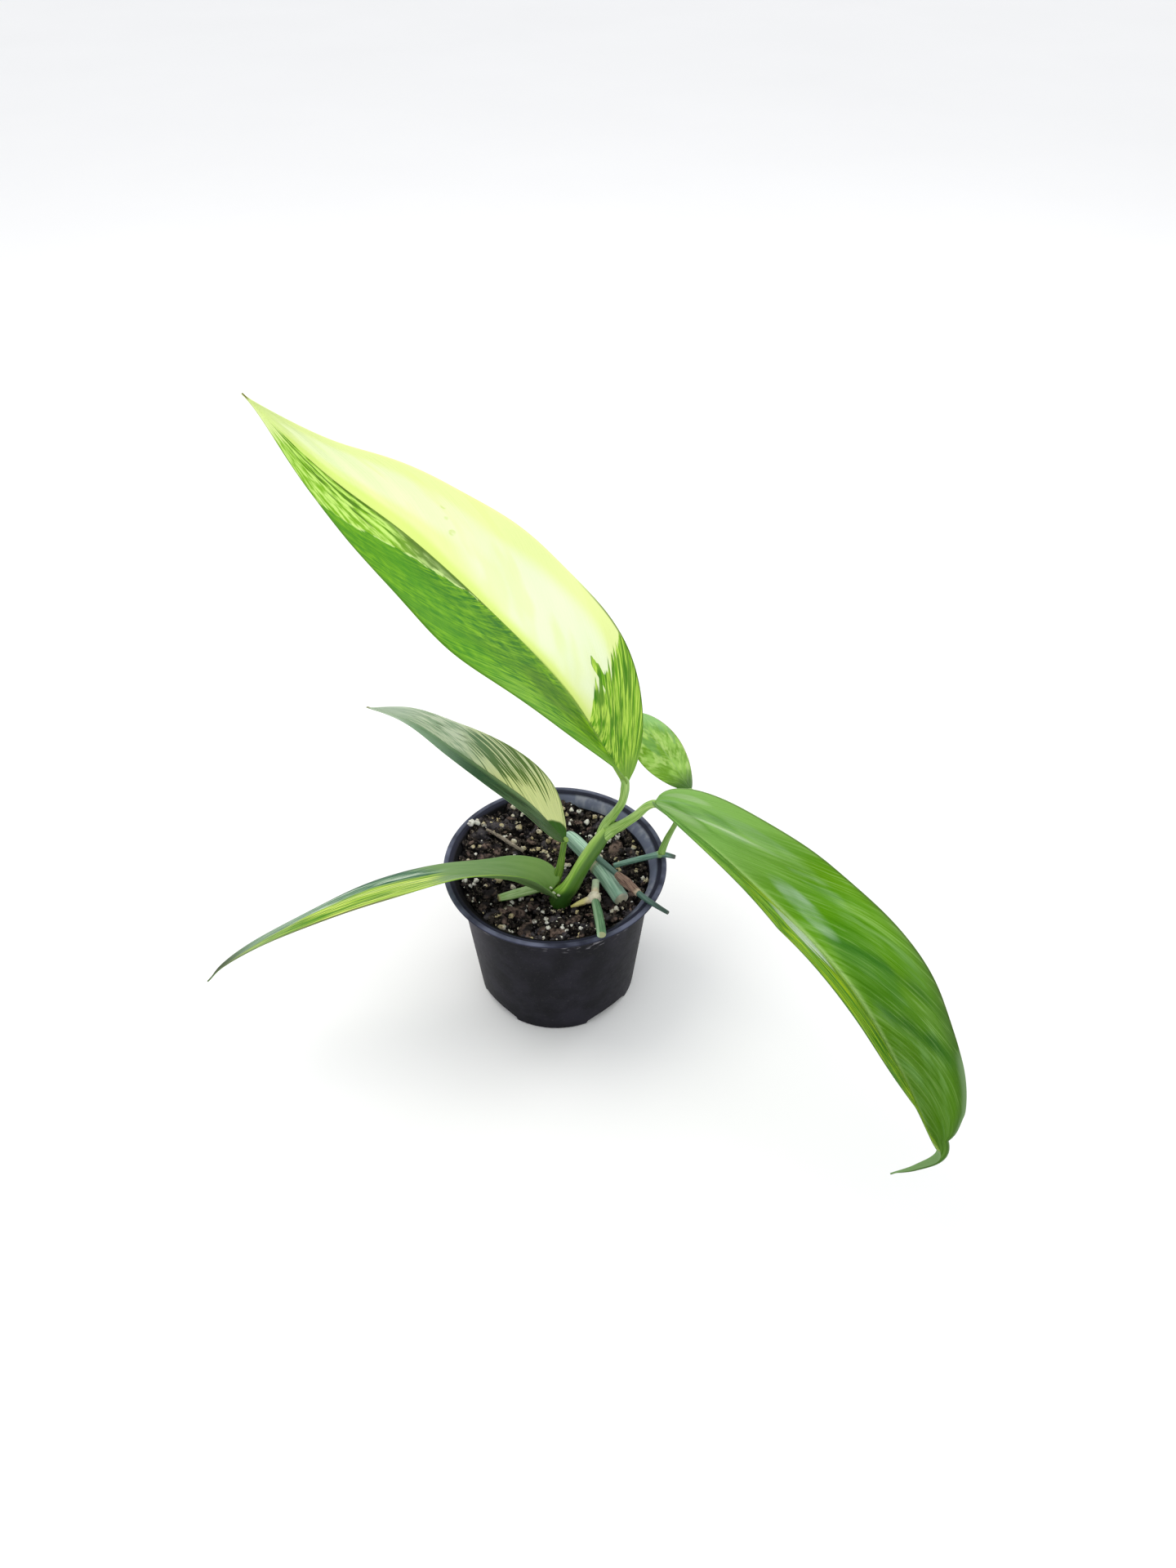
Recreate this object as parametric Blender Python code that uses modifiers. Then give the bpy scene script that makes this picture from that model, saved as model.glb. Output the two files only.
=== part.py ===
"""A variegated climbing aroid with narrow leaves, rooted in a small black nursery pot.

Metres, +Z up. The origin is the centre of the pot's underside, and -Y is the side that faces the viewer.
Each leaf, petiole and piece of stem is a solid of its own, and they meet with a small gap.
"""
import math
import random

import bmesh
import bpy
from mathutils import Matrix, Vector, noise

# Room left between pieces that touch, so that their faces never cross
GAP = 0.0003

for old in list(bpy.data.objects):
    bpy.data.objects.remove(old, do_unlink=True)

plant = bpy.data.collections.new("potted_variegated_vine")
bpy.context.scene.collection.children.link(plant)


def tool_collection(name):
    """A collection for solids that are joined to a piece or cut out of it."""
    tools = bpy.data.collections.new(name)
    bpy.context.scene.collection.children.link(tools)
    return tools


def material(name, colour, roughness):
    """A plain finish in the piece's own colour."""
    finish = bpy.data.materials.new(name)
    finish.use_nodes = True
    shader = finish.node_tree.nodes["Principled BSDF"]
    shader.inputs["Base Color"].default_value = (*colour, 1)
    shader.inputs["Roughness"].default_value = roughness
    return finish


def show(name, data, finish, collection=plant):
    """Link a mesh or a curve as a piece of the model, or as a tool in another collection."""
    piece = bpy.data.objects.new(name, data)
    collection.objects.link(piece)
    if finish:
        data.materials.clear()
        data.materials.append(finish)
    if collection is not plant:
        piece.hide_render = True
        piece.display_type = "WIRE"
    return piece


def settle(piece, finish=None):
    """Apply a piece's modifiers, or turn a curve into a closed mesh, at the same place."""
    graph = bpy.context.evaluated_depsgraph_get()
    mesh = bpy.data.meshes.new_from_object(piece.evaluated_get(graph))
    shape = bmesh.new()
    shape.from_mesh(mesh)
    bmesh.ops.remove_doubles(shape, verts=shape.verts, dist=1e-6)
    shape.to_mesh(mesh)
    shape.free()
    name, home, place = piece.name, piece.users_collection[0], piece.matrix_world.copy()
    bpy.data.objects.remove(piece, do_unlink=True)
    solid = show(name, mesh, finish, home)
    solid.matrix_world = place
    return solid


def boolean(piece, operation, tools, finish):
    """Join a collection's solids to a piece, or cut them out of it, and remove them."""
    step = piece.modifiers.new(operation.lower(), "BOOLEAN")
    step.operation = operation
    step.operand_type = "COLLECTION"
    step.collection = tools
    piece = settle(piece, finish)
    for tool in list(tools.objects):
        bpy.data.objects.remove(tool, do_unlink=True)
    bpy.data.collections.remove(tools)
    return piece


def curve_points(points, count):
    """Count points, evenly spaced, on a smooth curve through the given ones."""
    ends = [Vector(p) for p in points]
    ends = [2 * ends[0] - ends[1], *ends, 2 * ends[-1] - ends[-2]]
    fine = []
    for a, b, c, d in zip(ends, ends[1:], ends[2:], ends[3:]):
        for k in range(24):
            t = k / 24
            fine.append(0.5 * (2 * b + (c - a) * t + (2 * a - 5 * b + 4 * c - d) * t**2
                               + (3 * b - a - 3 * c + d) * t**3))
    fine.append(ends[-2])
    run = [0.0]
    for a, b in zip(fine, fine[1:]):
        run.append(run[-1] + (b - a).length)
    found, k = [], 0
    for i in range(count):
        want = run[-1] * i / (count - 1)
        while k < len(run) - 2 and run[k + 1] < want:
            k += 1
        found.append(fine[k].lerp(fine[k + 1], (want - run[k]) / (run[k + 1] - run[k])))
    return found


def blend(values, t):
    """A smooth run from the first value to the last, drawn towards those between."""
    last = len(values) - 1
    return sum(math.comb(last, i) * t**i * (1 - t)**(last - i) * v for i, v in enumerate(values))


def steps_between(values, t):
    """Straight steps through a list of values, at t from 0 to 1."""
    place = t * (len(values) - 1)
    k = min(int(place), len(values) - 2)
    return values[k] + (values[k + 1] - values[k]) * (place - k)


def tube(name, points, radii, finish, count=12, collection=plant, swell=0.0):
    """A round stem on a smooth curve, with its radius given along it."""
    curve = bpy.data.curves.new(name, "CURVE")
    curve.dimensions = "3D"
    curve.bevel_depth = 0.001
    curve.bevel_resolution = 2
    curve.use_fill_caps = True
    spline = curve.splines.new("POLY")
    spline.points.add(count - 1)
    for i, place in enumerate(curve_points(points, count)):
        spline.points[i].co = (*place, 1)
        spline.points[i].radius = (steps_between(radii, i / (count - 1)) + swell) / curve.bevel_depth
    return show(name, curve, finish, collection)


def add_solid(name, shape, finish, collection=plant, place=Matrix()):
    """Link a bmesh as a piece or a tool, moved to its place."""
    bmesh.ops.transform(shape, matrix=place, verts=shape.verts)
    mesh = bpy.data.meshes.new(name)
    shape.to_mesh(mesh)
    shape.free()
    return show(name, mesh, finish, collection)


# The pot: a thin moulded cup whose wall flares to a narrow lip, with a ledge inside and a flat underside.
POT_HEIGHT = 0.078
POT_SIDES = 48
RIM_RADIUS = 0.0525
RIM_DEPTH = 0.0016
FLARE_HEIGHT = 0.0052
BODY_TOP_RADIUS = 0.0457
BASE_RADIUS = 0.0385
POT_WALL = 0.0012
POT_FLOOR = 0.0016
LEDGE_HEIGHT = POT_HEIGHT - 0.0095
LEDGE_WIDTH = 0.0013
MOUTH_RADIUS = BODY_TOP_RADIUS - POT_WALL
THROAT_RADIUS = MOUTH_RADIUS - LEDGE_WIDTH
FOOT_RADIUS = BASE_RADIUS - 0.0005
FOOT_HEIGHT = 0.0075
FOOT_FLAT = 0.0330

black_plastic = material("black_plastic", (0.022, 0.023, 0.028), 0.45)


def turned(name, profile, finish, sides):
    """A solid of revolution from a profile of radius and height, listed from inside over the top and out."""
    shape = bmesh.new()
    points = [shape.verts.new((radius, 0, height)) for radius, height in profile]
    for a, b in zip(points, points[1:]):
        shape.edges.new((a, b))
    piece = add_solid(name, shape, finish)
    screw = piece.modifiers.new("turn", "SCREW")
    screw.steps = sides
    screw.render_steps = sides
    screw.use_merge_vertices = True
    screw.merge_threshold = 0.00001
    return settle(piece, finish)


pot = turned("pot", [
    (0, POT_FLOOR), (FOOT_FLAT, POT_FLOOR), (FOOT_RADIUS, FOOT_HEIGHT),
    (THROAT_RADIUS, LEDGE_HEIGHT), (MOUTH_RADIUS, LEDGE_HEIGHT + 0.0002),
    (MOUTH_RADIUS + 0.0003, POT_HEIGHT - FLARE_HEIGHT + 0.0002), (MOUTH_RADIUS + 0.0015, POT_HEIGHT - 0.0030),
    (RIM_RADIUS - 0.0042, POT_HEIGHT - 0.0010), (RIM_RADIUS - 0.0032, POT_HEIGHT - 0.0002),
    (RIM_RADIUS - 0.0020, POT_HEIGHT), (RIM_RADIUS - 0.0006, POT_HEIGHT - 0.0001),
    (RIM_RADIUS, POT_HEIGHT - 0.0006), (RIM_RADIUS, POT_HEIGHT - RIM_DEPTH + 0.0004),
    (RIM_RADIUS - 0.0004, POT_HEIGHT - RIM_DEPTH), (RIM_RADIUS - 0.0034, POT_HEIGHT - RIM_DEPTH - 0.0002),
    (BODY_TOP_RADIUS + 0.0014, POT_HEIGHT - 0.0035), (BODY_TOP_RADIUS, POT_HEIGHT - FLARE_HEIGHT),
    (BASE_RADIUS + 0.0002, 0.0010), (BASE_RADIUS - 0.0006, 0), (0, 0)], black_plastic, POT_SIDES)

# Four notches are cut slanting out of the foot, each with a round drain hole through it.
NOTCH_HEIGHT = 0.0048
NOTCH_DEPTH = 0.0032
NOTCH_WIDTH = 0.0240
NOTCH_TURN = math.radians(41.5)
DRAIN_RADIUS = 0.0017

notches = tool_collection("notches")
slant = math.atan2(NOTCH_HEIGHT, NOTCH_DEPTH + 0.0006)
for quarter in range(4):
    face = (Matrix.Rotation(NOTCH_TURN + quarter * math.pi / 2, 4, "Z")
            @ Matrix.Translation((BASE_RADIUS - NOTCH_DEPTH / 2, 0, NOTCH_HEIGHT / 2))
            @ Matrix.Rotation(math.pi / 2 - slant, 4, "Y"))
    wedge = bmesh.new()
    bmesh.ops.create_cube(wedge, size=1)
    bmesh.ops.scale(wedge, vec=(0.008, NOTCH_WIDTH, 0.012), verts=wedge.verts)
    add_solid("notch", wedge, None, notches, face @ Matrix.Translation((0.004, 0, -0.001)))
    drain = bmesh.new()
    bmesh.ops.create_cone(drain, cap_ends=True, segments=12, radius1=DRAIN_RADIUS, radius2=DRAIN_RADIUS, depth=0.012)
    add_solid("drain", drain, None, notches, face @ Matrix.Rotation(math.pi / 2, 4, "Y"))
pot = boolean(pot, "DIFFERENCE", notches, black_plastic)

# The stems: the points of each route, the radii along it, its finish and how many rings it has.
fresh_green = material("fresh_green", (0.24, 0.42, 0.08), 0.45)
blue_green = material("blue_green", (0.12, 0.30, 0.20), 0.5)
dry_brown = material("dry_brown", (0.25, 0.14, 0.09), 0.8)
pale_root = material("pale_root", (0.62, 0.55, 0.40), 0.7)

STEMS = {
    # A thick base in the soil runs up as the sheath that holds two petioles.
    "shoot": ([(0.0022, -0.0146, 0.056), (0.0026, -0.0149, 0.068), (0.0076, -0.0149, 0.077),
               (0.0155, -0.0110, 0.0915), (0.0245, -0.0062, 0.1045)],
              [0.0045, 0.0049, 0.0042, 0.0036, 0.0036, 0.0035], fresh_green, 15),
    "petiole_a": ([(0.0238, -0.0040, 0.1058), (0.0268, -0.0055, 0.1130), (0.0306, -0.0085, 0.1240),
                   (0.0316, -0.0100, 0.1355)],
                  [0.0017, 0.0018, 0.0018], fresh_green, 10),
    "petiole_b": ([(0.0268, -0.0076, 0.1060), (0.0302, -0.0112, 0.1120), (0.0362, -0.0182, 0.1245),
                   (0.0402, -0.0222, 0.1335), (0.0429, -0.0248, 0.1377)],
                  [0.0017, 0.0018, 0.0018, 0.0016], fresh_green, 12),
    "petiole_c": ([(-0.0015, -0.0068, 0.057), (-0.0006, -0.0076, 0.070), (0.0024, -0.0088, 0.082),
                   (0.0038, -0.0080, 0.0915), (0.0047, -0.0068, 0.0974)],
                  [0.0022, 0.0024, 0.0022, 0.0015, 0.0014], fresh_green, 10),
    # The old rooted cutting lies across the soil, with a ring at its node.
    "old_cutting": ([(0.0045, 0.0310, 0.0640), (0.0100, 0.0215, 0.0680), (0.0206, 0.0031, 0.0705),
                     (0.0310, -0.0178, 0.0710)],
                    [0.0039, 0.0039, 0.0039, 0.0039, 0.0043, 0.0039, 0.0038, 0.0038], blue_green, 15),
    # A thin runner starts on top of it and lies out over the rim, in a dry brown sheath halfway.
    "runner": ([(0.0165, 0.0070, 0.0768), (0.0198, 0.0036, 0.0768), (0.0296, -0.0092, 0.0777),
                (0.0404, -0.0242, 0.0796), (0.0460, -0.0302, 0.0804), (0.0512, -0.0354, 0.0812)],
               [0.0014, 0.0015, 0.0014, 0.0014, 0.0013, 0.0009], blue_green, 13),
    # A second runner rests on the rim and carries the small leaf behind.
    "side_runner": ([(0.0278, 0.0006, 0.0742), (0.0360, 0.0008, 0.0772), (0.0443, 0.0011, 0.0798),
                     (0.0502, 0.0025, 0.0800), (0.0565, 0.0004, 0.0803)],
                    [0.0013, 0.0014, 0.0014, 0.0015, 0.0010], blue_green, 11),
    "petiole_e": ([(0.0503, 0.0026, 0.0819), (0.0526, 0.0050, 0.0880), (0.0566, 0.0060, 0.0980),
                   (0.0605, 0.0080, 0.1080), (0.0619, 0.0097, 0.1134)],
                  [0.0014, 0.0012, 0.0012, 0.0013], fresh_green, 11),
    # A short piece leads from the root knob to the front of the rim.
    "front_cutting": ([(0.0189, -0.0207, 0.0723), (0.0203, -0.0325, 0.0758), (0.0212, -0.0445, 0.0806),
                       (0.0214, -0.0482, 0.0811)],
                      [0.0019, 0.0022, 0.0022, 0.0021], blue_green, 10),
    "left_stub": ([(-0.0068, -0.0084, 0.0690), (-0.0160, -0.0125, 0.0697), (-0.0262, -0.0164, 0.0700)],
                  [0.0023, 0.0023, 0.0017], fresh_green, 8),
}
for name, (route, radii, finish, rings) in STEMS.items():
    tube(name, route, radii, finish, rings)

# The dry sheath is a short thick-walled tube round the middle of the runner.
SHEATH_SHARE = (0.36, 0.70)
SHEATH_RADII = [0.0020, 0.0025, 0.0024, 0.0021]
runner_line = curve_points(STEMS["runner"][0], 51)
sheath_line = runner_line[int(SHEATH_SHARE[0] * 50):int(SHEATH_SHARE[1] * 50):4]
sheath = settle(tube("runner_sheath", sheath_line, SHEATH_RADII, dry_brown, 8))
bore = tool_collection("bore")
settle(tube("bore", STEMS["runner"][0], STEMS["runner"][1], None, 13, bore, GAP))
sheath = boolean(sheath, "DIFFERENCE", bore, dry_brown)

# The pale knob is where an aerial root leaves the short cutting.
KNOB_CENTRE = Vector((0.0186, -0.0168, 0.0707))
KNOB_RADIUS = 0.0032
ROOT_PARTS = {
    "aerial_root": ([KNOB_CENTRE, (0.0130, -0.0188, 0.0700), (0.0075, -0.0206, 0.0688)],
                    [0.0019, 0.0014, 0.0006]),
    "pale_shoot": ([KNOB_CENTRE, (0.0189, -0.0120, 0.0718), (0.0192, -0.0078, 0.0730)],
                   [0.0019, 0.0018, 0.0017]),
}


def root_knob(swell, name, finish, collection):
    """The knob with its root and shoot, joined in one solid, or a slightly larger one to cut with."""
    ball = bmesh.new()
    bmesh.ops.create_uvsphere(ball, u_segments=12, v_segments=8, radius=KNOB_RADIUS + swell)
    knob = add_solid(name, ball, finish, collection, Matrix.Translation(KNOB_CENTRE))
    branches = tool_collection("branches")
    for branch, (route, radii) in ROOT_PARTS.items():
        settle(tube(branch, route, radii, None, 7, branches, swell))
    return boolean(knob, "UNION", branches, finish)


root_knob(0, "root_knob", pale_root, plant)

# The soil lies over the pot's ledge with an uneven top, which is heaped up towards the wall, most at the
# back left.
SOIL_TOP = 0.0663
SOIL_BUMP = 0.0015
SOIL_SCALE = 90
HEAP_HEIGHT = 0.0068
HEAP_LEAN = 0.0027
HEAP_LEAN_TURN = math.radians(158)
HEAP_SADDLE = 0.0015
HEAP_SADDLE_TURN = math.radians(-50)
SOIL_SIDES = 36
SOIL_RINGS = 9
SOIL_EDGE = MOUTH_RADIUS - GAP

dark_soil = material("dark_soil", (0.045, 0.032, 0.024), 0.95)


def soil_height(x, y):
    """How high the bare soil stands at a place."""
    lumps = noise.noise(Vector((x, y, 0)) * SOIL_SCALE) + 0.5 * noise.noise(Vector((x, y, 0.3)) * 2.4 * SOIL_SCALE)
    turn = math.atan2(y, x)
    heap = HEAP_HEIGHT + HEAP_LEAN * math.cos(turn - HEAP_LEAN_TURN)
    heap += HEAP_SADDLE * math.cos(2 * (turn - HEAP_SADDLE_TURN))
    return SOIL_TOP + SOIL_BUMP * lumps + heap * (math.hypot(x, y) / SOIL_EDGE)**3


soil = turned("soil", [
    *[(SOIL_EDGE * k / SOIL_RINGS, POT_HEIGHT) for k in range(SOIL_RINGS + 1)],
    (SOIL_EDGE, LEDGE_HEIGHT + 2 * GAP), (THROAT_RADIUS - GAP, LEDGE_HEIGHT + GAP),
    (FOOT_RADIUS - GAP, FOOT_HEIGHT), (FOOT_FLAT - GAP, POT_FLOOR + GAP), (0, POT_FLOOR + GAP)],
    dark_soil, SOIL_SIDES)
for vertex in soil.data.vertices:
    if vertex.co.z > POT_HEIGHT - GAP:
        vertex.co.z = soil_height(vertex.co.x, vertex.co.y)

# White grains and chips of bark are sunk into the soil, clear of the stems.
GRAIN_COUNT = 44
GRAIN_RADIUS = (0.0011, 0.0023)
GRAIN_RAISED = 0.15
CHIP_COUNT = 14
CHIP_SIZE = (0.0085, 0.0045, 0.0022)
CHIP_ROOM = 0.0042
CHIP_TILT = 0.35
STEM_ROOM = 0.0062
EDGE_ROOM = 0.0010
TWIG = [(-0.0330, 0.0290), (-0.0250, 0.0210), (-0.0160, 0.0140)]
TWIG_RADII = [0.0008, 0.0012, 0.0011, 0.0006]
TWIG_RAISED = 0.0006

draw = random.Random(11)
stem_places = [KNOB_CENTRE]
for route, radii, finish, rings in STEMS.values():
    stem_places.extend(place for place in curve_points(route, 30) if place.z < 0.077)
for route, radii in ROOT_PARTS.values():
    stem_places.extend(curve_points(route, 8))


def free_spot(room, taken):
    """A place on the soil with room round it, clear of the stems and of what is there."""
    while True:
        turn, reach = draw.uniform(0, 2 * math.pi), (SOIL_EDGE - room - EDGE_ROOM) * math.sqrt(draw.random())
        spot = Vector((reach * math.cos(turn), reach * math.sin(turn), 0))
        spot.z = soil_height(spot.x, spot.y)
        clear = all((spot - other).length > room + size + GAP for other, size in taken)
        if clear and all((spot - place).length > room + STEM_ROOM for place in stem_places):
            return spot


bits = tool_collection("bits")
twig_route = [(x, y, soil_height(x, y) + TWIG_RAISED) for x, y in TWIG]
taken = [(place, max(TWIG_RADII)) for place in curve_points(twig_route, 9)]
settle(tube("twig", twig_route, TWIG_RADII, None, 7, bits))
for k in range(CHIP_COUNT):
    spot = free_spot(CHIP_ROOM, taken)
    taken.append((spot, CHIP_ROOM))
    chip = bmesh.new()
    bmesh.ops.create_cube(chip, size=1)
    bmesh.ops.scale(chip, vec=Vector(CHIP_SIZE) * draw.uniform(0.6, 1.0), verts=chip.verts)
    lean = draw.uniform(-CHIP_TILT, CHIP_TILT)
    tilt = Matrix.Rotation(draw.uniform(0, math.pi), 4, "Z") @ Matrix.Rotation(lean, 4, "X")
    add_solid("chip", chip, None, bits, Matrix.Translation(spot) @ tilt)
for k in range(GRAIN_COUNT):
    size = draw.uniform(*GRAIN_RADIUS)
    spot = free_spot(size, taken)
    taken.append((spot, size))
    grain = bmesh.new()
    bmesh.ops.create_icosphere(grain, subdivisions=1, radius=size)
    tilt = Matrix.Rotation(draw.uniform(0, math.pi), 4, "Z") @ Matrix.Scale(draw.uniform(0.7, 1.0), 4, (0, 0, 1))
    spot.z += GRAIN_RAISED * size
    add_solid("grain", grain, None, bits, Matrix.Translation(spot) @ tilt)
soil = boolean(soil, "UNION", bits, dark_soil)

# Each stem that stands or lies in the soil has a hole of its own there.
holes = tool_collection("holes")
for name in ("shoot", "petiole_c", "old_cutting", "front_cutting", "left_stub"):
    route, radii, finish, rings = STEMS[name]
    settle(tube("hole", route, radii, None, rings, holes, GAP))
root_knob(GAP, "hole", None, holes)
soil = boolean(soil, "DIFFERENCE", holes, dark_soil)

# The leaf blades
BLADE = 0.0007
RIB = 0.0018
BLADE_COLUMNS = 8
BASE_WIDTH = 0.0016
TIP_WIDTH = 0.0004


def leaf(name, midrib, half_width, swell, taper, roll, fold_left, fold_right, curl_left, curl_right,
         finish, rows=30, ripple=0.0, waves=4, tail_share=1.0, tail_width=0.0, tail_roll=0):
    """A blade on a smooth midrib.

    swell and taper shape its outline from the base and to the tip. roll turns the whole section about the
    midrib, fold lifts each half from it, and curl bends each half on towards its margin, all in degrees.
    Past tail_share of its length the blade is a narrow tail, which turns on by tail_roll.
    """
    spine = curve_points(midrib, rows + 1)
    peak = swell / (swell + taper)
    widest = peak**swell * (1 - peak)**taper
    side = Vector((0, 0, 1)).cross(spine[1] - spine[0]).normalized()
    sections = []
    for i, centre in enumerate(spine):
        t = i / rows
        ahead = (spine[min(i + 1, rows)] - spine[max(i - 1, 0)]).normalized()
        side = (side - ahead * side.dot(ahead)).normalized()
        up = ahead.cross(side)
        past = max(0.0, t - tail_share) / (1.01 - tail_share)
        turn = math.radians(blend(roll, t) + tail_roll * min(1.0, 2 * past))
        across = side * math.cos(turn) + up * math.sin(turn)
        lift = up * math.cos(turn) - side * math.sin(turn)
        reach = min(t / tail_share, 1.0)
        width = half_width * reach**swell * (1 - reach)**taper / widest
        if tail_width and t > 0.5:
            width = max(width, tail_width * min(1.0, (1 - t) / (1 - tail_share)))
        sections.append((centre, across, lift, max(width, BASE_WIDTH * (1 - t) + TIP_WIDTH * t), t))

    blade = bmesh.new()
    bmesh.ops.create_grid(blade, x_segments=rows, y_segments=BLADE_COLUMNS, size=1)
    on_rib = []
    for vertex in blade.verts:
        centre, across, lift, width, t = sections[round((vertex.co.x + 1) * rows / 2)]
        hand = vertex.co.y
        u = abs(hand)
        if u < 0.01:
            on_rib.append(vertex.index)
        fold = math.radians(blend(fold_left if hand > 0 else fold_right, t))
        curl = math.radians(curl_left if hand > 0 else curl_right) + 1e-6
        out = (math.sin(fold + curl * u) - math.sin(fold)) / curl * width
        rise = (math.cos(fold) - math.cos(fold + curl * u)) / curl * width
        wave = math.sin(2 * math.pi * waves * t + (0.9 if hand > 0 else 2.3)) * math.sin(math.pi * t)
        vertex.co = centre + across * math.copysign(out, hand) + lift * (rise + ripple * u * u * wave)
    piece = add_solid(name, blade, finish)
    rib = piece.vertex_groups.new(name="rib")
    rib.add(on_rib, 1.0, "REPLACE")
    piece.modifiers.new("split", "TRIANGULATE")
    shell = piece.modifiers.new("shell", "SOLIDIFY")
    shell.thickness = RIB
    shell.offset = 0
    shell.vertex_group = "rib"
    shell.thickness_vertex_group = BLADE / RIB
    return piece


def plane_route(base, heading_deg, profile):
    """Points in the upright plane through a base, from pairs of distance out and height."""
    heading = math.radians(heading_deg)
    ahead = Vector((math.cos(heading), math.sin(heading), 0))
    ground = Vector((*base, 0))
    return [ground + ahead * out + Vector((0, 0, height)) for out, height in profile]


# The largest leaf rises back to the left, half cream and half green.
leaf("leaf_a", plane_route((0.0319, -0.0102), 150, [
        (0, 0.1361), (0.029, 0.175), (0.066, 0.203), (0.104, 0.226), (0.147, 0.245), (0.184, 0.270)]),
     half_width=0.0365, swell=0.67, taper=1.24, roll=(12, -13, -7, -20), fold_left=(41, -13, 41),
     fold_right=(37, -9, 46), curl_left=2, curl_right=13, ripple=0.0008,
     finish=material("cream_and_green", (0.50, 0.62, 0.24), 0.4))

# The second leaf arches out to the front right and hangs, ending in a curled tail.
leaf("leaf_b", [
        (0.0434, -0.0253, 0.1383), (0.0678, -0.0497, 0.1345), (0.0960, -0.0717, 0.1185), (0.1183, -0.0985, 0.1079),
        (0.1407, -0.1135, 0.0737), (0.1510, -0.1265, 0.0567), (0.1569, -0.1320, 0.0457),
        (0.1491, -0.1340, 0.0379), (0.1392, -0.1355, 0.0338)],
     half_width=0.0300, swell=0.44, taper=0.40, roll=(9, 11, -2, 9), fold_left=(58, 24, 48),
     fold_right=(60, 35, 57), curl_left=22, curl_right=4, ripple=0.0007, rows=34,
     tail_share=0.88, tail_width=0.0052, tail_roll=10, finish=material("mid_green", (0.13, 0.32, 0.06), 0.4))

# The third leaf is smaller, striped, and rises to the left.
leaf("leaf_c", plane_route((0.0050, -0.0066), 155, [
        (0, 0.0982), (0.0165, 0.114), (0.0353, 0.124), (0.055, 0.133), (0.076, 0.1415), (0.100, 0.142)]),
     half_width=0.0158, swell=0.57, taper=1.15, roll=(25, 5, -23, -13), fold_left=(-8, 40, 42),
     fold_right=(10, 46, 46), curl_left=15, curl_right=23, rows=22,
     finish=material("cream_striped", (0.40, 0.48, 0.25), 0.4))

# The fourth leaf is long and narrow and arches out to the left over the rim.
leaf("leaf_d", plane_route((-0.0038, -0.0139), 192, [
        (-0.0011, 0.0703), (0.0070, 0.0776), (0.0184, 0.0856), (0.0408, 0.0919), (0.0696, 0.0905),
        (0.0950, 0.0849), (0.1250, 0.0721), (0.1488, 0.0568), (0.1585, 0.0472)]),
     half_width=0.0146, swell=0.20, taper=1.12, roll=(-27, 102, -38, 28, 29, -20),
     fold_left=(56, -14, 26, -11, -47, 56), fold_right=(65, -52, 57, -26, -60, 57), curl_left=0, curl_right=0,
     rows=26, finish=material("grey_and_lime", (0.26, 0.40, 0.15), 0.4))

# The small leaf stands behind on the second runner.
leaf("leaf_e", [
        (0.0622, 0.0102, 0.1140), (0.0557, 0.0189, 0.1200), (0.0479, 0.0293, 0.1260),
        (0.0402, 0.0397, 0.1306), (0.0363, 0.0449, 0.1316)],
     half_width=0.0140, swell=0.61, taper=0.81, roll=(29, -11), fold_left=(-3, -3), fold_right=(-3, -3),
     curl_left=-14, curl_right=-14, rows=16, finish=material("mottled_green", (0.28, 0.45, 0.14), 0.4))
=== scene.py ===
import math
import random

import bmesh
import bpy
from mathutils import Matrix, Vector, noise


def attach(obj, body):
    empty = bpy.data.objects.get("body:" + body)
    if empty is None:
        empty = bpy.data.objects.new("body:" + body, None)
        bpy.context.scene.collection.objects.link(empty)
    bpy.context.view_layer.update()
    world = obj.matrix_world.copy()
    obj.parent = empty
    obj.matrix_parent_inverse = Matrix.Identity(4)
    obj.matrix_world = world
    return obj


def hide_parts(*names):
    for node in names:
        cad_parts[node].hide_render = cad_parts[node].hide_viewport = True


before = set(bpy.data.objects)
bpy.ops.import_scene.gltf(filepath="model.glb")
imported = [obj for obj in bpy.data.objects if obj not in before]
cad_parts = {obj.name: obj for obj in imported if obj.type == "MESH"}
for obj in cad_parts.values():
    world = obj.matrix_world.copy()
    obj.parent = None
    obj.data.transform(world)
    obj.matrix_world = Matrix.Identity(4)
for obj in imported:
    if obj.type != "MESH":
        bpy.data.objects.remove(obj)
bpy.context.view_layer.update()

# The nursery pot. Thin black polypropylene, moulded in one piece: a wall that flares to a narrow lip with a
# groove in its top, a ledge inside, and four slanted drain notches at the foot.
POT_HEIGHT = 0.078
POT_SIDES = 192
RIM_RADIUS = 0.0525
RIM_DEPTH = 0.0016
FLARE_HEIGHT = 0.0052
BODY_TOP_RADIUS = 0.0457
BASE_RADIUS = 0.0385
POT_WALL = 0.0012
POT_FLOOR = 0.0016
LEDGE_HEIGHT = POT_HEIGHT - 0.0095
MOUTH_RADIUS = BODY_TOP_RADIUS - POT_WALL
THROAT_RADIUS = MOUTH_RADIUS - 0.0013
FOOT_RADIUS = BASE_RADIUS - 0.0005
FOOT_HEIGHT = 0.0075
FOOT_FLAT = 0.0330
NOTCH_HEIGHT = 0.0048
NOTCH_DEPTH = 0.0032
NOTCH_DRAFT = 0.0006
NOTCH_HALF_WIDTH = 0.0120
NOTCH_SIDE_SLOPE = 3
NOTCH_TURN = math.radians(41.5)
DRAIN_RADIUS = 0.0017
DRILL_LENGTH = 0.012
DRILL_SIDES = 24


def colour(red, green, blue):
    """A display colour, from 0 to 255 each, as the linear colour that a shader takes."""
    return (*[((c / 255 + 0.055) / 1.055)**2.4 if c > 10 else c / 3294 for c in (red, green, blue)], 1)


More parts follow.
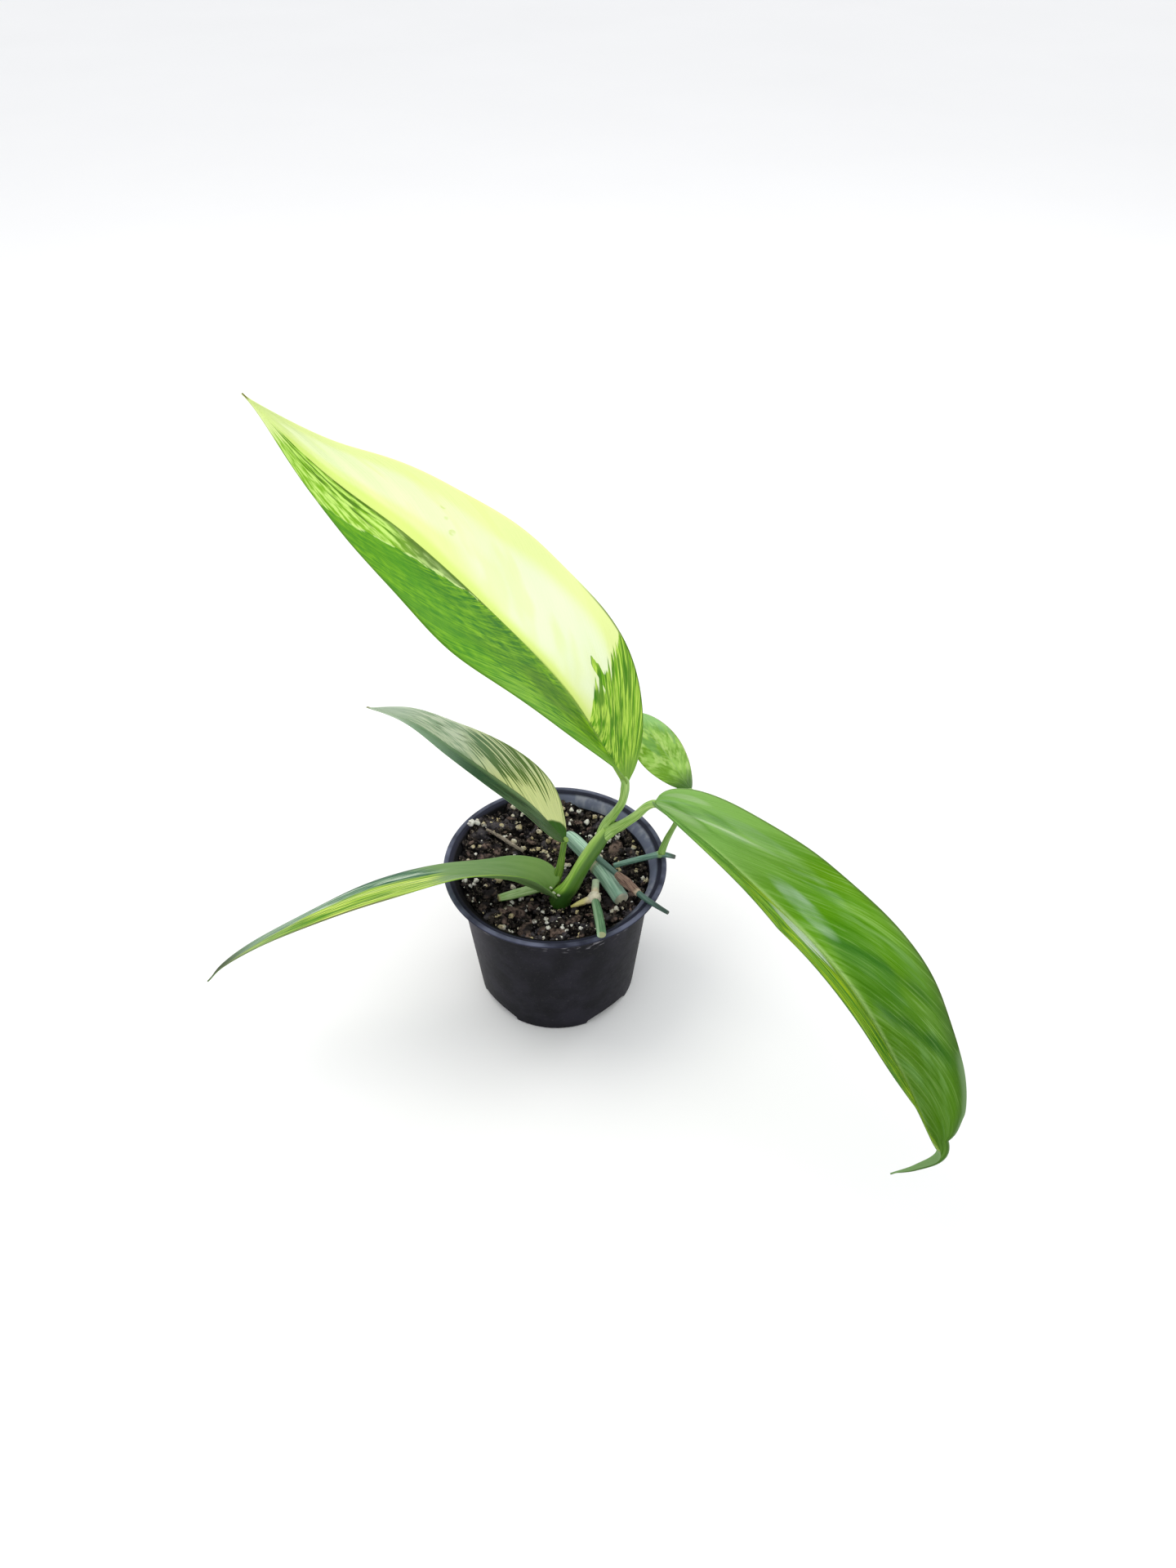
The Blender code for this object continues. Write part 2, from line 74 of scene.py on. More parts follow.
class Reading:
    """A value that a finish reads from a node, so that Python's own signs do the shader's sums."""

    def __init__(self, finish, socket):
        self.finish, self.socket = finish, socket

    def sums(self, operation, *values):
        """One sum of the shader, on this reading and others."""
        return self.finish.node("ShaderNodeMath", {"operation": operation}, dict(enumerate(values)))

    def __add__(self, other):
        return self.sums("ADD", self, other)

    def __sub__(self, other):
        return self.sums("SUBTRACT", self, other)

    def __rsub__(self, other):
        return self.sums("SUBTRACT", other, self)

    def __mul__(self, other):
        return self.sums("MULTIPLY", self, other)

    def __truediv__(self, other):
        return self.sums("DIVIDE", self, other)

    def __pow__(self, other):
        return self.sums("POWER", self, other)

    def __abs__(self):
        return self.sums("ABSOLUTE", self)

    __radd__, __rmul__ = __add__, __mul__

    def rises(self, low, high):
        """0 below low and 1 above high, with a soft step between. It falls where high is the smaller."""
        return self.finish.node("ShaderNodeMapRange", {"interpolation_type": "SMOOTHSTEP"},
                                {0: self, 1: low, 2: high})

    def above(self, level):
        """How far it stands above a level, and 0 below it."""
        return self.sums("MAXIMUM", self - level, 0)

    def part(self, output):
        """Another output of the same node."""
        return Reading(self.finish, self.socket.node.outputs[output])


class Finish:
    """A material with one Principled shader, whose colour and relief are built up from nodes."""

    tint = staticmethod(colour)

    def __init__(self, name, shine):
        self.material = bpy.data.materials.new(name)
        self.material.use_nodes = True
        self.tree = self.material.node_tree
        self.shader = self.tree.nodes["Principled BSDF"]
        self.shader.inputs["Specular IOR Level"].default_value = shine

    def node(self, kind, settings, sockets, output=0):
        """Add a node, with its settings first and then the values or links of its sockets."""
        node = self.tree.nodes.new(kind)
        for setting, value in settings.items():
            setattr(node, setting, value)
        for socket, value in sockets.items():
            if isinstance(value, Reading):
                self.tree.links.new(value.socket, node.inputs[socket])
            else:
                node.inputs[socket].default_value = value
        return Reading(self, node.outputs[output])

    def tone(self, given):
        """A colour for a socket: display values are turned into one, and a reading stays as it is."""
        return given if isinstance(given, Reading) else self.tint(*given)

    def lay(self, base, layers):
        """Lay colours over a base, in order. Each layer is a colour and how much of it shows, from 0 to 1."""
        for layer, share in layers:
            sockets = {0: share, 6: self.tone(base), 7: self.tone(layer)}
            base = self.node("ShaderNodeMix", {"data_type": "RGBA"}, sockets, 2)
        return base

    def point(self, x, y, z):
        """A place made of three values or readings."""
        return self.node("ShaderNodeCombineXYZ", {}, {0: x, 1: y, 2: z})

    def parts(self, vector):
        """The three parts of a reading that is a vector."""
        first = self.node("ShaderNodeSeparateXYZ", {}, {0: vector})
        return first, first.part(1), first.part(2)

    def here(self):
        """A point's place in the object's own space."""
        return self.node("ShaderNodeTexCoord", {}, {}, "Object")

    def kept(self, name, output="Vector"):
        """A reading that the mesh keeps."""
        return self.node("ShaderNodeAttribute", {"attribute_name": name}, {}, output)

    def grain(self, scale, detail=3, place=None):
        """Cloudy noise about 0.5, in the object's own space unless a place is given."""
        if place is None:
            place = self.here()
        return self.node("ShaderNodeTexNoise", {}, {"Vector": place, "Scale": scale, "Detail": detail})

    def paint(self, base=None, roughness=None, relief=None, depth=0.0002):
        """Join the readings to the shader: base colour, roughness, and relief as a bump of a real depth."""
        for socket, value in (("Base Color", base), ("Roughness", roughness)):
            if isinstance(value, Reading):
                self.tree.links.new(value.socket, self.shader.inputs[socket])
            elif value is not None:
                self.shader.inputs[socket].default_value = value
        if relief:
            bump = self.node("ShaderNodeBump", {}, {"Strength": 1.0, "Distance": depth, "Height": relief})
            self.tree.links.new(bump.socket, self.shader.inputs["Normal"])
        return self.material


def new_piece(name, add, **size):
    """Add a primitive with nothing else selected, and name it."""
    bpy.ops.object.select_all(action="DESELECT")
    add(**size)
    piece = bpy.context.object
    piece.name = piece.data.name = name
    return piece


def apply_all(piece):
    """Apply a piece's modifiers in order."""
    bpy.context.view_layer.objects.active = piece
    for modifier in list(piece.modifiers):
        bpy.ops.object.modifier_apply(modifier=modifier.name)


def close_mesh():
    """Turn all faces outwards and leave edit mode."""
    bpy.ops.mesh.select_all(action="SELECT")
    bpy.ops.mesh.normals_make_consistent(inside=False)
    bpy.ops.object.mode_set(mode="OBJECT")


def finish_piece(piece, material, slot, *nodes):
    """Give a piece its material, its smooth shading and the nodes that it stands for. The slot is not used.
    """
    piece.data.materials.clear()
    piece.data.materials.append(material)
    piece.data.shade_smooth()
    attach(piece, "root")
    if nodes:
        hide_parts(*nodes)


def arc(centre, radius, first, last, steps):
    """Points of radius and height on a round edge, from one angle in degrees to another."""
    turns = [math.radians(first + (last - first) * k / steps) for k in range(steps + 1)]
    return [(centre[0] + radius * math.cos(a), centre[1] + radius * math.sin(a)) for a in turns]


# From the underside up the outside, over the lip and down the inside to the floor
flare = POT_HEIGHT - FLARE_HEIGHT
lip = POT_HEIGHT - RIM_DEPTH
foot_rings = [0.0010 + 0.0005 * k for k in range(12)]
pot_profile = [
    (BASE_RADIUS - 0.0006, 0), (BASE_RADIUS - 0.0001, 0.0003),
    *[(BASE_RADIUS + 0.0002 + (BODY_TOP_RADIUS - BASE_RADIUS) * h / flare, h)
      for h in (*foot_rings, 0.012, 0.025, 0.040, 0.055, 0.066, flare - 0.0010)],
    (BODY_TOP_RADIUS + 0.0004, flare + 0.0006), (BODY_TOP_RADIUS + 0.0013, flare + 0.0018),
    (BODY_TOP_RADIUS + 0.0023, flare + 0.0028), (RIM_RADIUS - 0.0036, lip - 0.0003),
    (RIM_RADIUS - 0.0030, lip), (RIM_RADIUS - 0.0010, lip),
    *arc((RIM_RADIUS - 0.0007, lip + 0.0007), 0.0007, -80, 0, 5),
    *arc((RIM_RADIUS - 0.0009, POT_HEIGHT - 0.0009), 0.0009, 10, 90, 6),
    (RIM_RADIUS - 0.0016, POT_HEIGHT), (RIM_RADIUS - 0.0022, POT_HEIGHT - 0.0002),
    (RIM_RADIUS - 0.0026, POT_HEIGHT - 0.0006), (RIM_RADIUS - 0.0030, POT_HEIGHT - 0.0006),
    (RIM_RADIUS - 0.0033, POT_HEIGHT - 0.0004), (RIM_RADIUS - 0.0037, POT_HEIGHT - 0.0005),
    (RIM_RADIUS - 0.0043, POT_HEIGHT - 0.0012), (MOUTH_RADIUS + 0.0027, flare + 0.0034),
    (MOUTH_RADIUS + 0.0015, flare + 0.0022), (MOUTH_RADIUS + 0.0007, flare + 0.0010),
    (MOUTH_RADIUS + 0.0003, flare + 0.0001), (MOUTH_RADIUS, LEDGE_HEIGHT + 0.0006),
    (MOUTH_RADIUS - 0.0003, LEDGE_HEIGHT + 0.0001), (THROAT_RADIUS + 0.0003, LEDGE_HEIGHT),
    (THROAT_RADIUS, LEDGE_HEIGHT - 0.0003), (FOOT_RADIUS, FOOT_HEIGHT), (FOOT_FLAT, POT_FLOOR)]

pot = new_piece("pot_shell", bpy.ops.mesh.primitive_circle_add, vertices=POT_SIDES, radius=pot_profile[0][0],
                fill_type="NGON")
bpy.ops.object.mode_set(mode="EDIT")
bpy.ops.mesh.select_all(action="SELECT")
for (r0, h0), (r1, h1) in zip(pot_profile, pot_profile[1:]):
    bpy.ops.mesh.extrude_region_move(TRANSFORM_OT_translate={"value": (0, 0, h1 - h0)})
    bpy.ops.transform.resize(value=(r1 / r0, r1 / r0, 1), center_override=(0, 0, h1))
close_mesh()

# Each notch pushes the outside of the foot back to a slanted face.
notch_slope = (NOTCH_DEPTH + NOTCH_DRAFT) / NOTCH_HEIGHT
for vertex in pot.data.vertices:
    x, y, z = vertex.co
    if z > FOOT_HEIGHT or math.hypot(x, y) < FOOT_FLAT + 0.0001:
        continue
    for quarter in range(4):
        turn = NOTCH_TURN + quarter * math.pi / 2
        out = x * math.cos(turn) + y * math.sin(turn)
        side = y * math.cos(turn) - x * math.sin(turn)
        face = BASE_RADIUS - NOTCH_DEPTH / 2 + (z - NOTCH_HEIGHT / 2) * notch_slope
        face += NOTCH_SIDE_SLOPE * max(0.0, abs(side) - NOTCH_HALF_WIDTH)
        if 0 < face < out:
            vertex.co.x -= (out - face) * math.cos(turn)
            vertex.co.y -= (out - face) * math.sin(turn)

slant = math.atan2(NOTCH_HEIGHT, NOTCH_DEPTH + NOTCH_DRAFT)
for quarter in range(4):
    drill = new_piece("drill", bpy.ops.mesh.primitive_cylinder_add, vertices=DRILL_SIDES, radius=DRAIN_RADIUS,
                      depth=DRILL_LENGTH)
    drill.matrix_world = (Matrix.Rotation(NOTCH_TURN + quarter * math.pi / 2, 4, "Z")
                          @ Matrix.Translation((BASE_RADIUS - NOTCH_DEPTH / 2, 0, NOTCH_HEIGHT / 2))
                          @ Matrix.Rotation(math.pi - slant, 4, "Y"))
    hole = pot.modifiers.new("hole", "BOOLEAN")
    hole.object = drill
    apply_all(pot)
    bpy.data.objects.remove(drill)

plastic = Finish("black_plastic", 0.06)
x, y, z = plastic.parts(plastic.here())
reach = (x * x + y * y)**0.5
# Dried soil is smeared on the inner wall at the right, where the light falls.
inside = reach.rises(MOUTH_RADIUS + 0.0042, MOUTH_RADIUS + 0.0030) * z.rises(0.066, 0.068)
inside = inside * (z - reach).rises(0.0268, 0.0276)
lit = (x + 0.5 * y).rises(0.004, 0.034)
smear = plastic.grain(160, 4, plastic.point(x, y, z * 0.35)).rises(0.44, 0.66) * inside * lit
# Pale scuffs lie in a band on the outside under the rim.
band = z.rises(0.0620, 0.0670) * z.rises(0.0735, 0.0700) * y.rises(-0.020, -0.034)
rub = (plastic.grain(60, 2, plastic.point(x, y, z * 1.5)) + x.rises(0.010, 0.030) * 0.10).rises(0.46, 0.56)
scratch = plastic.grain(300, 5, plastic.point(x * 0.6 + z, y * 0.6, z * 1.6 - x * 0.5))
scuff = rub * scratch.rises(0.52, 0.64) * band
dust = plastic.grain(900, 2).rises(0.62, 0.75) * 0.1
crown = reach.rises(RIM_RADIUS - 0.0027, RIM_RADIUS - 0.0019) * z.rises(lip + 0.0008, lip + 0.0015)
cast = plastic.lay((20, 20, 25), [
    ((34, 33, 41), plastic.grain(70, 4).rises(0.35, 0.7)),
    # The left side paler with painted light, the lip, and the gleam on its crown as a painted highlight
    ((66, 63, 73), x.rises(-0.024, -0.046) * z.rises(0.0, 0.06) * 0.75),
    ((38, 40, 54), z.rises(lip - 0.0001, lip + 0.0011) * 0.9),
    ((100, 104, 124), crown * (0.3 + plastic.grain(90, 2)).rises(0.5, 1.0)),
    # The inner wall in shadow and in light, then the smear, the scuffs and the dust
    ((3, 3, 5), inside * lit.rises(0.8, 0.2)),
    ((110, 116, 138), inside * lit * 0.85),
    ((148, 150, 162), smear * 0.8),
    ((132, 130, 136), scuff * 0.8),
    ((110, 104, 98), dust)])
finish_piece(pot, plastic.paint(cast, 0.42 + 0.25 * smear + 0.15 * plastic.grain(420, 2),
                                plastic.grain(1500, 2), 0.00004), "pot_plastic", "pot")

# The potting mix. Dark peat is filled in loose and has settled with watering to just under the rim, a little
# higher at the back. Grains of perlite, chips of bark, a twig and loose crumbs lie in its top.
SOIL_TOP = 0.0663
SOIL_BUMP = 0.0015
SOIL_SCALE = 90
HEAP_HEIGHT = 0.0068
HEAP_LEAN = 0.0027
HEAP_LEAN_TURN = math.radians(158)
HEAP_SADDLE = 0.0015
HEAP_SADDLE_TURN = math.radians(-50)
SOIL_GRID = 150
SOIL_EDGE = MOUTH_RADIUS - 0.0001
SOIL_DEPTH = 0.012
SOIL_FOOT_HEIGHT = 0.050
SOIL_FOOT_SHARE = 0.88
SOIL_SPREAD = 0.6
# The peat's lumps and crumbs: how many to the metre, how high in metres, and the level they stand about
PEAT_LUMPS = ((330, 0.0024, 0.42), (900, 0.0009, 0.45))
PEAT_ROUGH_SCALE = 160
PEAT_ROUGH_HEIGHT = 0.0012


def soil_height(x, y):
    """How high the bare soil stands at a place."""
    lumps = noise.noise(Vector((x, y, 0)) * SOIL_SCALE)
    lumps += 0.5 * noise.noise(Vector((x, y, 0.3)) * 2.4 * SOIL_SCALE)
    turn = math.atan2(y, x)
    heap = HEAP_HEIGHT + HEAP_LEAN * math.cos(turn - HEAP_LEAN_TURN)
    heap += HEAP_SADDLE * math.cos(2 * (turn - HEAP_SADDLE_TURN))
    return SOIL_TOP + SOIL_BUMP * lumps + heap * (math.hypot(x, y) / SOIL_EDGE)**3


def crumble(place):
    """The rough of the peat: rounded lumps a few millimetres wide, with finer crumbs on them."""
    rise = 0.0
    for scale, height, level in PEAT_LUMPS:
        rise += height * (level - noise.voronoi(place * scale)[0][0])
    return rise + PEAT_ROUGH_HEIGHT * noise.noise(place * PEAT_ROUGH_SCALE)


soil = new_piece("soil_bed", bpy.ops.mesh.primitive_grid_add, x_subdivisions=SOIL_GRID,
                 y_subdivisions=SOIL_GRID, size=2)
stand = []
for vertex in soil.data.vertices:
    a, b = vertex.co.x, vertex.co.y
    ring, turn = max(abs(a), abs(b)), 0.0
    if ring > 1e-6:
        turn = math.pi / 4 * (b / a) if abs(a) >= abs(b) else math.pi / 2 - math.pi / 4 * (a / b)
        turn += math.pi if (a < 0 if abs(a) >= abs(b) else b < 0) else 0.0
    last = ring > 0.999
    ring = min(1.0, ring * SOIL_GRID / (SOIL_GRID - 2))
    x, y = ring * SOIL_EDGE * math.cos(turn), ring * SOIL_EDGE * math.sin(turn)
    stand.append(crumble(Vector((x, y, 0))))
    z = soil_height(x, y) + stand[-1]
    # Above the straight wall the soil spreads into the flare, and the last row is tucked in under it.
    spread = 1 + SOIL_SPREAD * ring**8 * max(0.0, z - flare) / SOIL_EDGE
    if last:
        spread, z = THROAT_RADIUS / SOIL_EDGE, LEDGE_HEIGHT + 0.0005
    vertex.co = x * spread, y * spread, z
reading = soil.data.attributes.new("stand", "FLOAT", "POINT")
for k, value in enumerate(stand):
    reading.data[k].value = value * 1000
bpy.ops.object.mode_set(mode="EDIT")
bpy.ops.mesh.select_all(action="SELECT")
bpy.ops.mesh.extrude_region_move(TRANSFORM_OT_translate={"value": (0, 0, -SOIL_DEPTH)})
bpy.ops.transform.resize(value=(SOIL_FOOT_SHARE, SOIL_FOOT_SHARE, 0),
                         center_override=(0, 0, SOIL_FOOT_HEIGHT))
close_mesh()

peat = Finish("dark_peat", 0.05)
stands = peat.kept("stand", "Fac")
ground = peat.lay((13, 12, 13), [
    ((70, 62, 58), peat.grain(420, 4).rises(0.38, 0.66)),
    # Pale fibres, grey and olive clods, and painted shade in the hollows
    ((136, 126, 112), peat.grain(1100, 2).rises(0.56, 0.68) * 0.7),
    ((92, 88, 96), peat.grain(130, 3).rises(0.52, 0.64) * 0.6),
    ((104, 96, 58), peat.grain(110, 2, peat.point(2, 7, 4)).rises(0.60, 0.70) * 0.6),
    ((3, 3, 4), stands.rises(0.4, -0.7) * 0.92)])
peat_finish = peat.paint(ground, 0.95, peat.grain(1600, 4), 0.0004)
finish_piece(soil, peat_finish, "potting_soil", "soil")

LUMP_KINDS = 6


def lump_shapes(name, subdivisions, rough, scale, stretch):
    """A few small rough bodies, pushed out of a ball, to be copied many times. Each is about 2 long."""
    shapes = []
    for seed in range(LUMP_KINDS):
        ball = new_piece(name, bpy.ops.mesh.primitive_ico_sphere_add, subdivisions=subdivisions, radius=1)
        for vertex in ball.data.vertices:
            push = noise.noise(vertex.co * scale + Vector((seed * 7.3, seed * 3.1, 0)))
            vertex.co = Vector([p * s for p, s in zip(vertex.co, stretch)]) * (1 + rough * push)
        shapes.append(ball.data.copy())
        bpy.data.objects.remove(ball)
    return shapes


def heap(name, shapes, places, material, slot):
    """One piece made of copies of a few shapes, each set in its own place."""
    pile = bmesh.new()
    for k, place in enumerate(places):
        first = len(pile.verts)
        pile.from_mesh(shapes[k % len(shapes)])
        pile.verts.ensure_lookup_table()
        bmesh.ops.transform(pile, matrix=place, verts=pile.verts[first:])
    piece = new_piece(name, bpy.ops.mesh.primitive_plane_add, size=0.001)
    pile.to_mesh(piece.data)
    pile.free()
    finish_piece(piece, material, slot)


# The routes of the twig and of the stems stand here already, because the loose bits keep off the stems.
TWIG = [(-0.0339, 0.0232), (-0.0280, 0.0222), (-0.0222, 0.0188), (-0.0159, 0.0158)]
STEMS = {
    "shoot": [(0.0022, -0.0146, 0.056), (0.0026, -0.0149, 0.068), (0.0076, -0.0149, 0.077),
              (0.0155, -0.0110, 0.0915), (0.0245, -0.0062, 0.1045)],
    "petiole_a": [(0.0238, -0.0040, 0.1058), (0.0268, -0.0055, 0.1130), (0.0306, -0.0085, 0.1240),
                  (0.0316, -0.0100, 0.1355)],
    "petiole_b": [(0.0268, -0.0076, 0.1060), (0.0302, -0.0112, 0.1120), (0.0362, -0.0182, 0.1245),
                  (0.0402, -0.0222, 0.1335), (0.0429, -0.0248, 0.1377)],
    "petiole_c": [(-0.0015, -0.0068, 0.057), (-0.0006, -0.0076, 0.070), (0.0024, -0.0088, 0.082),
                  (0.0038, -0.0080, 0.0915), (0.0047, -0.0068, 0.0974)],
    "old_cutting": [(0.0045, 0.0310, 0.0640), (0.0100, 0.0215, 0.0680), (0.0206, 0.0031, 0.0705),
                    (0.0310, -0.0178, 0.0710)],
    "runner": [(0.0165, 0.0070, 0.0768), (0.0198, 0.0036, 0.0768), (0.0296, -0.0092, 0.0777),
               (0.0404, -0.0242, 0.0796), (0.0460, -0.0302, 0.0804), (0.0512, -0.0354, 0.0812)],
    "side_runner": [(0.0278, 0.0006, 0.0742), (0.0360, 0.0008, 0.0772), (0.0443, 0.0011, 0.0798),
                    (0.0502, 0.0025, 0.0800), (0.0565, 0.0004, 0.0803)],
    "petiole_e": [(0.0503, 0.0026, 0.0819), (0.0526, 0.0050, 0.0880), (0.0566, 0.0060, 0.0980),
                  (0.0605, 0.0080, 0.1080), (0.0619, 0.0097, 0.1134)],
    "front_cutting": [(0.0189, -0.0207, 0.0723), (0.0203, -0.0325, 0.0758), (0.0212, -0.0445, 0.0806),
                      (0.0214, -0.0482, 0.0811)],
    "left_stub": [(-0.0068, -0.0084, 0.0690), (-0.0160, -0.0125, 0.0697), (-0.0262, -0.0164, 0.0700)],
    "root": [(0.0186, -0.0168, 0.0707), (0.0130, -0.0188, 0.0700), (0.0075, -0.0206, 0.0688)],
}

CURVE_STEPS = 24


def curve_points(points, count):
    """Count points, evenly spaced, on a smooth curve through the given ones."""
    ends = [Vector(p) for p in points]
    ends = [2 * ends[0] - ends[1], *ends, 2 * ends[-1] - ends[-2]]
    fine = []
    for a, b, c, d in zip(ends, ends[1:], ends[2:], ends[3:]):
        for k in range(CURVE_STEPS):
            t = k / CURVE_STEPS
            fine.append(0.5 * (2 * b + (c - a) * t + (2 * a - 5 * b + 4 * c - d) * t**2
                               + (3 * b - a - 3 * c + d) * t**3))
    fine.append(ends[-2])
    run = [0.0]
    for a, b in zip(fine, fine[1:]):
        run.append(run[-1] + (b - a).length)
    found, k = [], 0
    for i in range(count):
        want = run[-1] * i / (count - 1)
        while k < len(run) - 2 and run[k + 1] < want:
            k += 1
        found.append(fine[k].lerp(fine[k + 1], (want - run[k]) / (run[k + 1] - run[k])))
    return found


NEAR_SOIL = 0.077
stem_places = [p for route in STEMS.values() for p in curve_points(route, 30) if p.z < NEAR_SOIL]
draw = random.Random(5)


def on_soil(x, y, height=0.0):
    """A place on the bare soil, or a little above it."""
    return Vector((x, y, soil_height(x, y) + height))


def any_way(tilt):
    """A turn to any side, with a tilt of no more than the one given."""
    turn = Matrix.Rotation(draw.uniform(0, 2 * math.pi), 4, "Z")
    return turn @ Matrix.Rotation(draw.uniform(-tilt, tilt), 4, "X")


def scattered(count, low, high, clear, sink, flat=(0.65, 1.0), power=1.6):
    """Places for loose bits of mixed size on the soil, turned any way and kept off the stems."""
    places = []
    while len(places) < count:
        size = low + (high - low) * draw.random()**power
        turn = draw.uniform(0, 2 * math.pi)
        reach = (SOIL_EDGE - size * 0.6) * math.sqrt(draw.random())
        spot = on_soil(reach * math.cos(turn), reach * math.sin(turn), sink * size)
        if min((spot - p).length for p in stem_places) < clear + size:
            continue
        place = Matrix.Translation(spot) @ any_way(0.6)
        places.append(place @ Matrix.Diagonal((size, size, size * draw.uniform(*flat), 1)))
    return places


def placed(spots, sink):
    """The same for bits that stand out, given by where they lie and their size, in millimetres."""
    places = []
    for x, y, size in spots:
        size /= 1000
        spot = on_soil(x / 1000, y / 1000, sink * size)
        places.append(Matrix.Translation(spot) @ any_way(0.5) @ Matrix.Scale(size, 4))
    return places


# Perlite is volcanic glass puffed up by heat, white to straw-coloured, in rough round grains. It is mixed
# through the peat, and many grains lie on top.
puffs = lump_shapes("puff", 2, 0.6, 1.5, (1, 0.85, 0.8))
big_grains = placed([
    (-41.2, 23.7, 1.9), (-38.4, 25.4, 1.7), (-35.6, 25.6, 1.4), (-27.3, 28.5, 1.5), (-18.6, 29.4, 1.7),
    (-20.7, 20.6, 1.6), (-9, 18.6, 1.2), (-6, 16.7, 1.3), (-26.9, -2.9, 1.9), (-14, -2.3, 1.8),
    (-20, -7.2, 1.6), (-32.6, -8.8, 1.2), (-7.8, 33.1, 1.4), (-8.8, 28.4, 1.4), (-2.9, 25.7, 1.2),
    (-23.5, -36.3, 1.8), (-8.9, -29.5, 1.2), (-6, -9.6, 1.0), (-1, -22.3, 1.1), (15, 35, 1.5),
    (37.8, 17.2, 1.4), (39.8, 12.9, 1.3), (29.9, 24.9, 1.5), (41.6, -4.7, 1.3), (-21.4, 38.5, 1.4),
    (-21.7, 34.6, 1.0), (2.8, 41.5, 1.5), (4.9, 38.5, 1.2), (7.3, 40.4, 1.3), (11, 40, 1.3),
    (18.8, 37.8, 1.4), (22.4, 37, 1.1)], 0.25)
glass = Finish("perlite", 0.3)
chalk = glass.lay((224, 222, 214), [
    ((190, 176, 138), glass.grain(75, 2).rises(0.42, 0.58)),
    ((128, 124, 70), glass.grain(130, 2, glass.point(3, 5, 7)).rises(0.60, 0.68) * 0.8),
    ((92, 78, 62), glass.grain(620, 3).rises(0.50, 0.68) * 0.85)])
perlite_finish = glass.paint(chalk, 0.85, glass.grain(1800, 3), 0.0003)
grains = big_grains + scattered(330, 0.0004, 0.0015, 0.0012, 0.05, power=1.7)
heap("perlite", puffs, grains, perlite_finish, "potting_soil")

# Bark is chipped flat, dark brown, with broken ends. The chips lie loose in the mix, and some of them are
# half sunk.
flakes = lump_shapes("flake", 2, 0.5, 1.6, (1, 0.50, 0.30))
big_flakes = placed([
    (-12.8, -36.9, 6.0), (9, -28.5, 4.6), (2.1, -36.5, 4.3), (25, -18, 4.8), (13, -38.5, 2.8),
    (-18, -23.1, 5.5), (17, 29.7, 3.2), (29, 18.9, 5.8), (-10, -18, 3.2), (-28.7, 15.1, 4.2),
    (-31, -14, 4.5), (33, 2, 3.5), (-36, 8, 3.6), (-12, 8, 3.4), (36, -14, 3.2), (-3, 36, 3.6)], 0.05)
bark = Finish("bark", 0.1)
rind = bark.lay((40, 36, 37), [
    ((116, 98, 90), bark.grain(140, 2).rises(0.42, 0.62)),
    ((88, 86, 94), bark.grain(60, 1, bark.point(1, 2, 3)).rises(0.50, 0.60) * 0.7),
    ((14, 12, 12), bark.grain(700, 4).rises(0.48, 0.64) * 0.8)])
bark_finish = bark.paint(rind, 0.9, bark.grain(900, 4), 0.0005)
chips = big_flakes + scattered(120, 0.0012, 0.0036, 0.0014, 0.0, (0.8, 1.3), 1.4)
heap("bark_chips", flakes, chips, bark_finish, "potting_soil")

# Crumbs of peat lie loose on top of the bed and the chips. They are the same stuff as the bed, broken small
# when the pot was filled.
crumbs = lump_shapes("crumb", 1, 0.6, 1.5, (1, 0.8, 0.7))
heap("peat_crumbs", crumbs, scattered(900, 0.0004, 0.0016, 0.0008, 0.2), peat_finish, "potting_soil")

# The stems are round, firm and juicy stalks, green or blue-green, with a smooth skin. The cuttings were cut
# square with a blade and laid in the mix, and the shoots with their leaf stalks have grown from them.
STEM_SIDES = 28
END_RING = 0.88
END_ROUNDING = 0.95


def keep_reading(piece, name, values):
    """Keep a vector for each vertex of a piece, for its finish to read."""
    reading = piece.data.attributes.new(name, "FLOAT_VECTOR", "POINT")
    for k, value in enumerate(values):
        reading.data[k].vector = value


def steps_between(values, t):
    """Straight steps through a list of values, at t from 0 to 1."""
    place = t * (len(values) - 1)
    k = min(int(place), len(values) - 2)
    return values[k] + (values[k + 1] - values[k]) * (place - k)


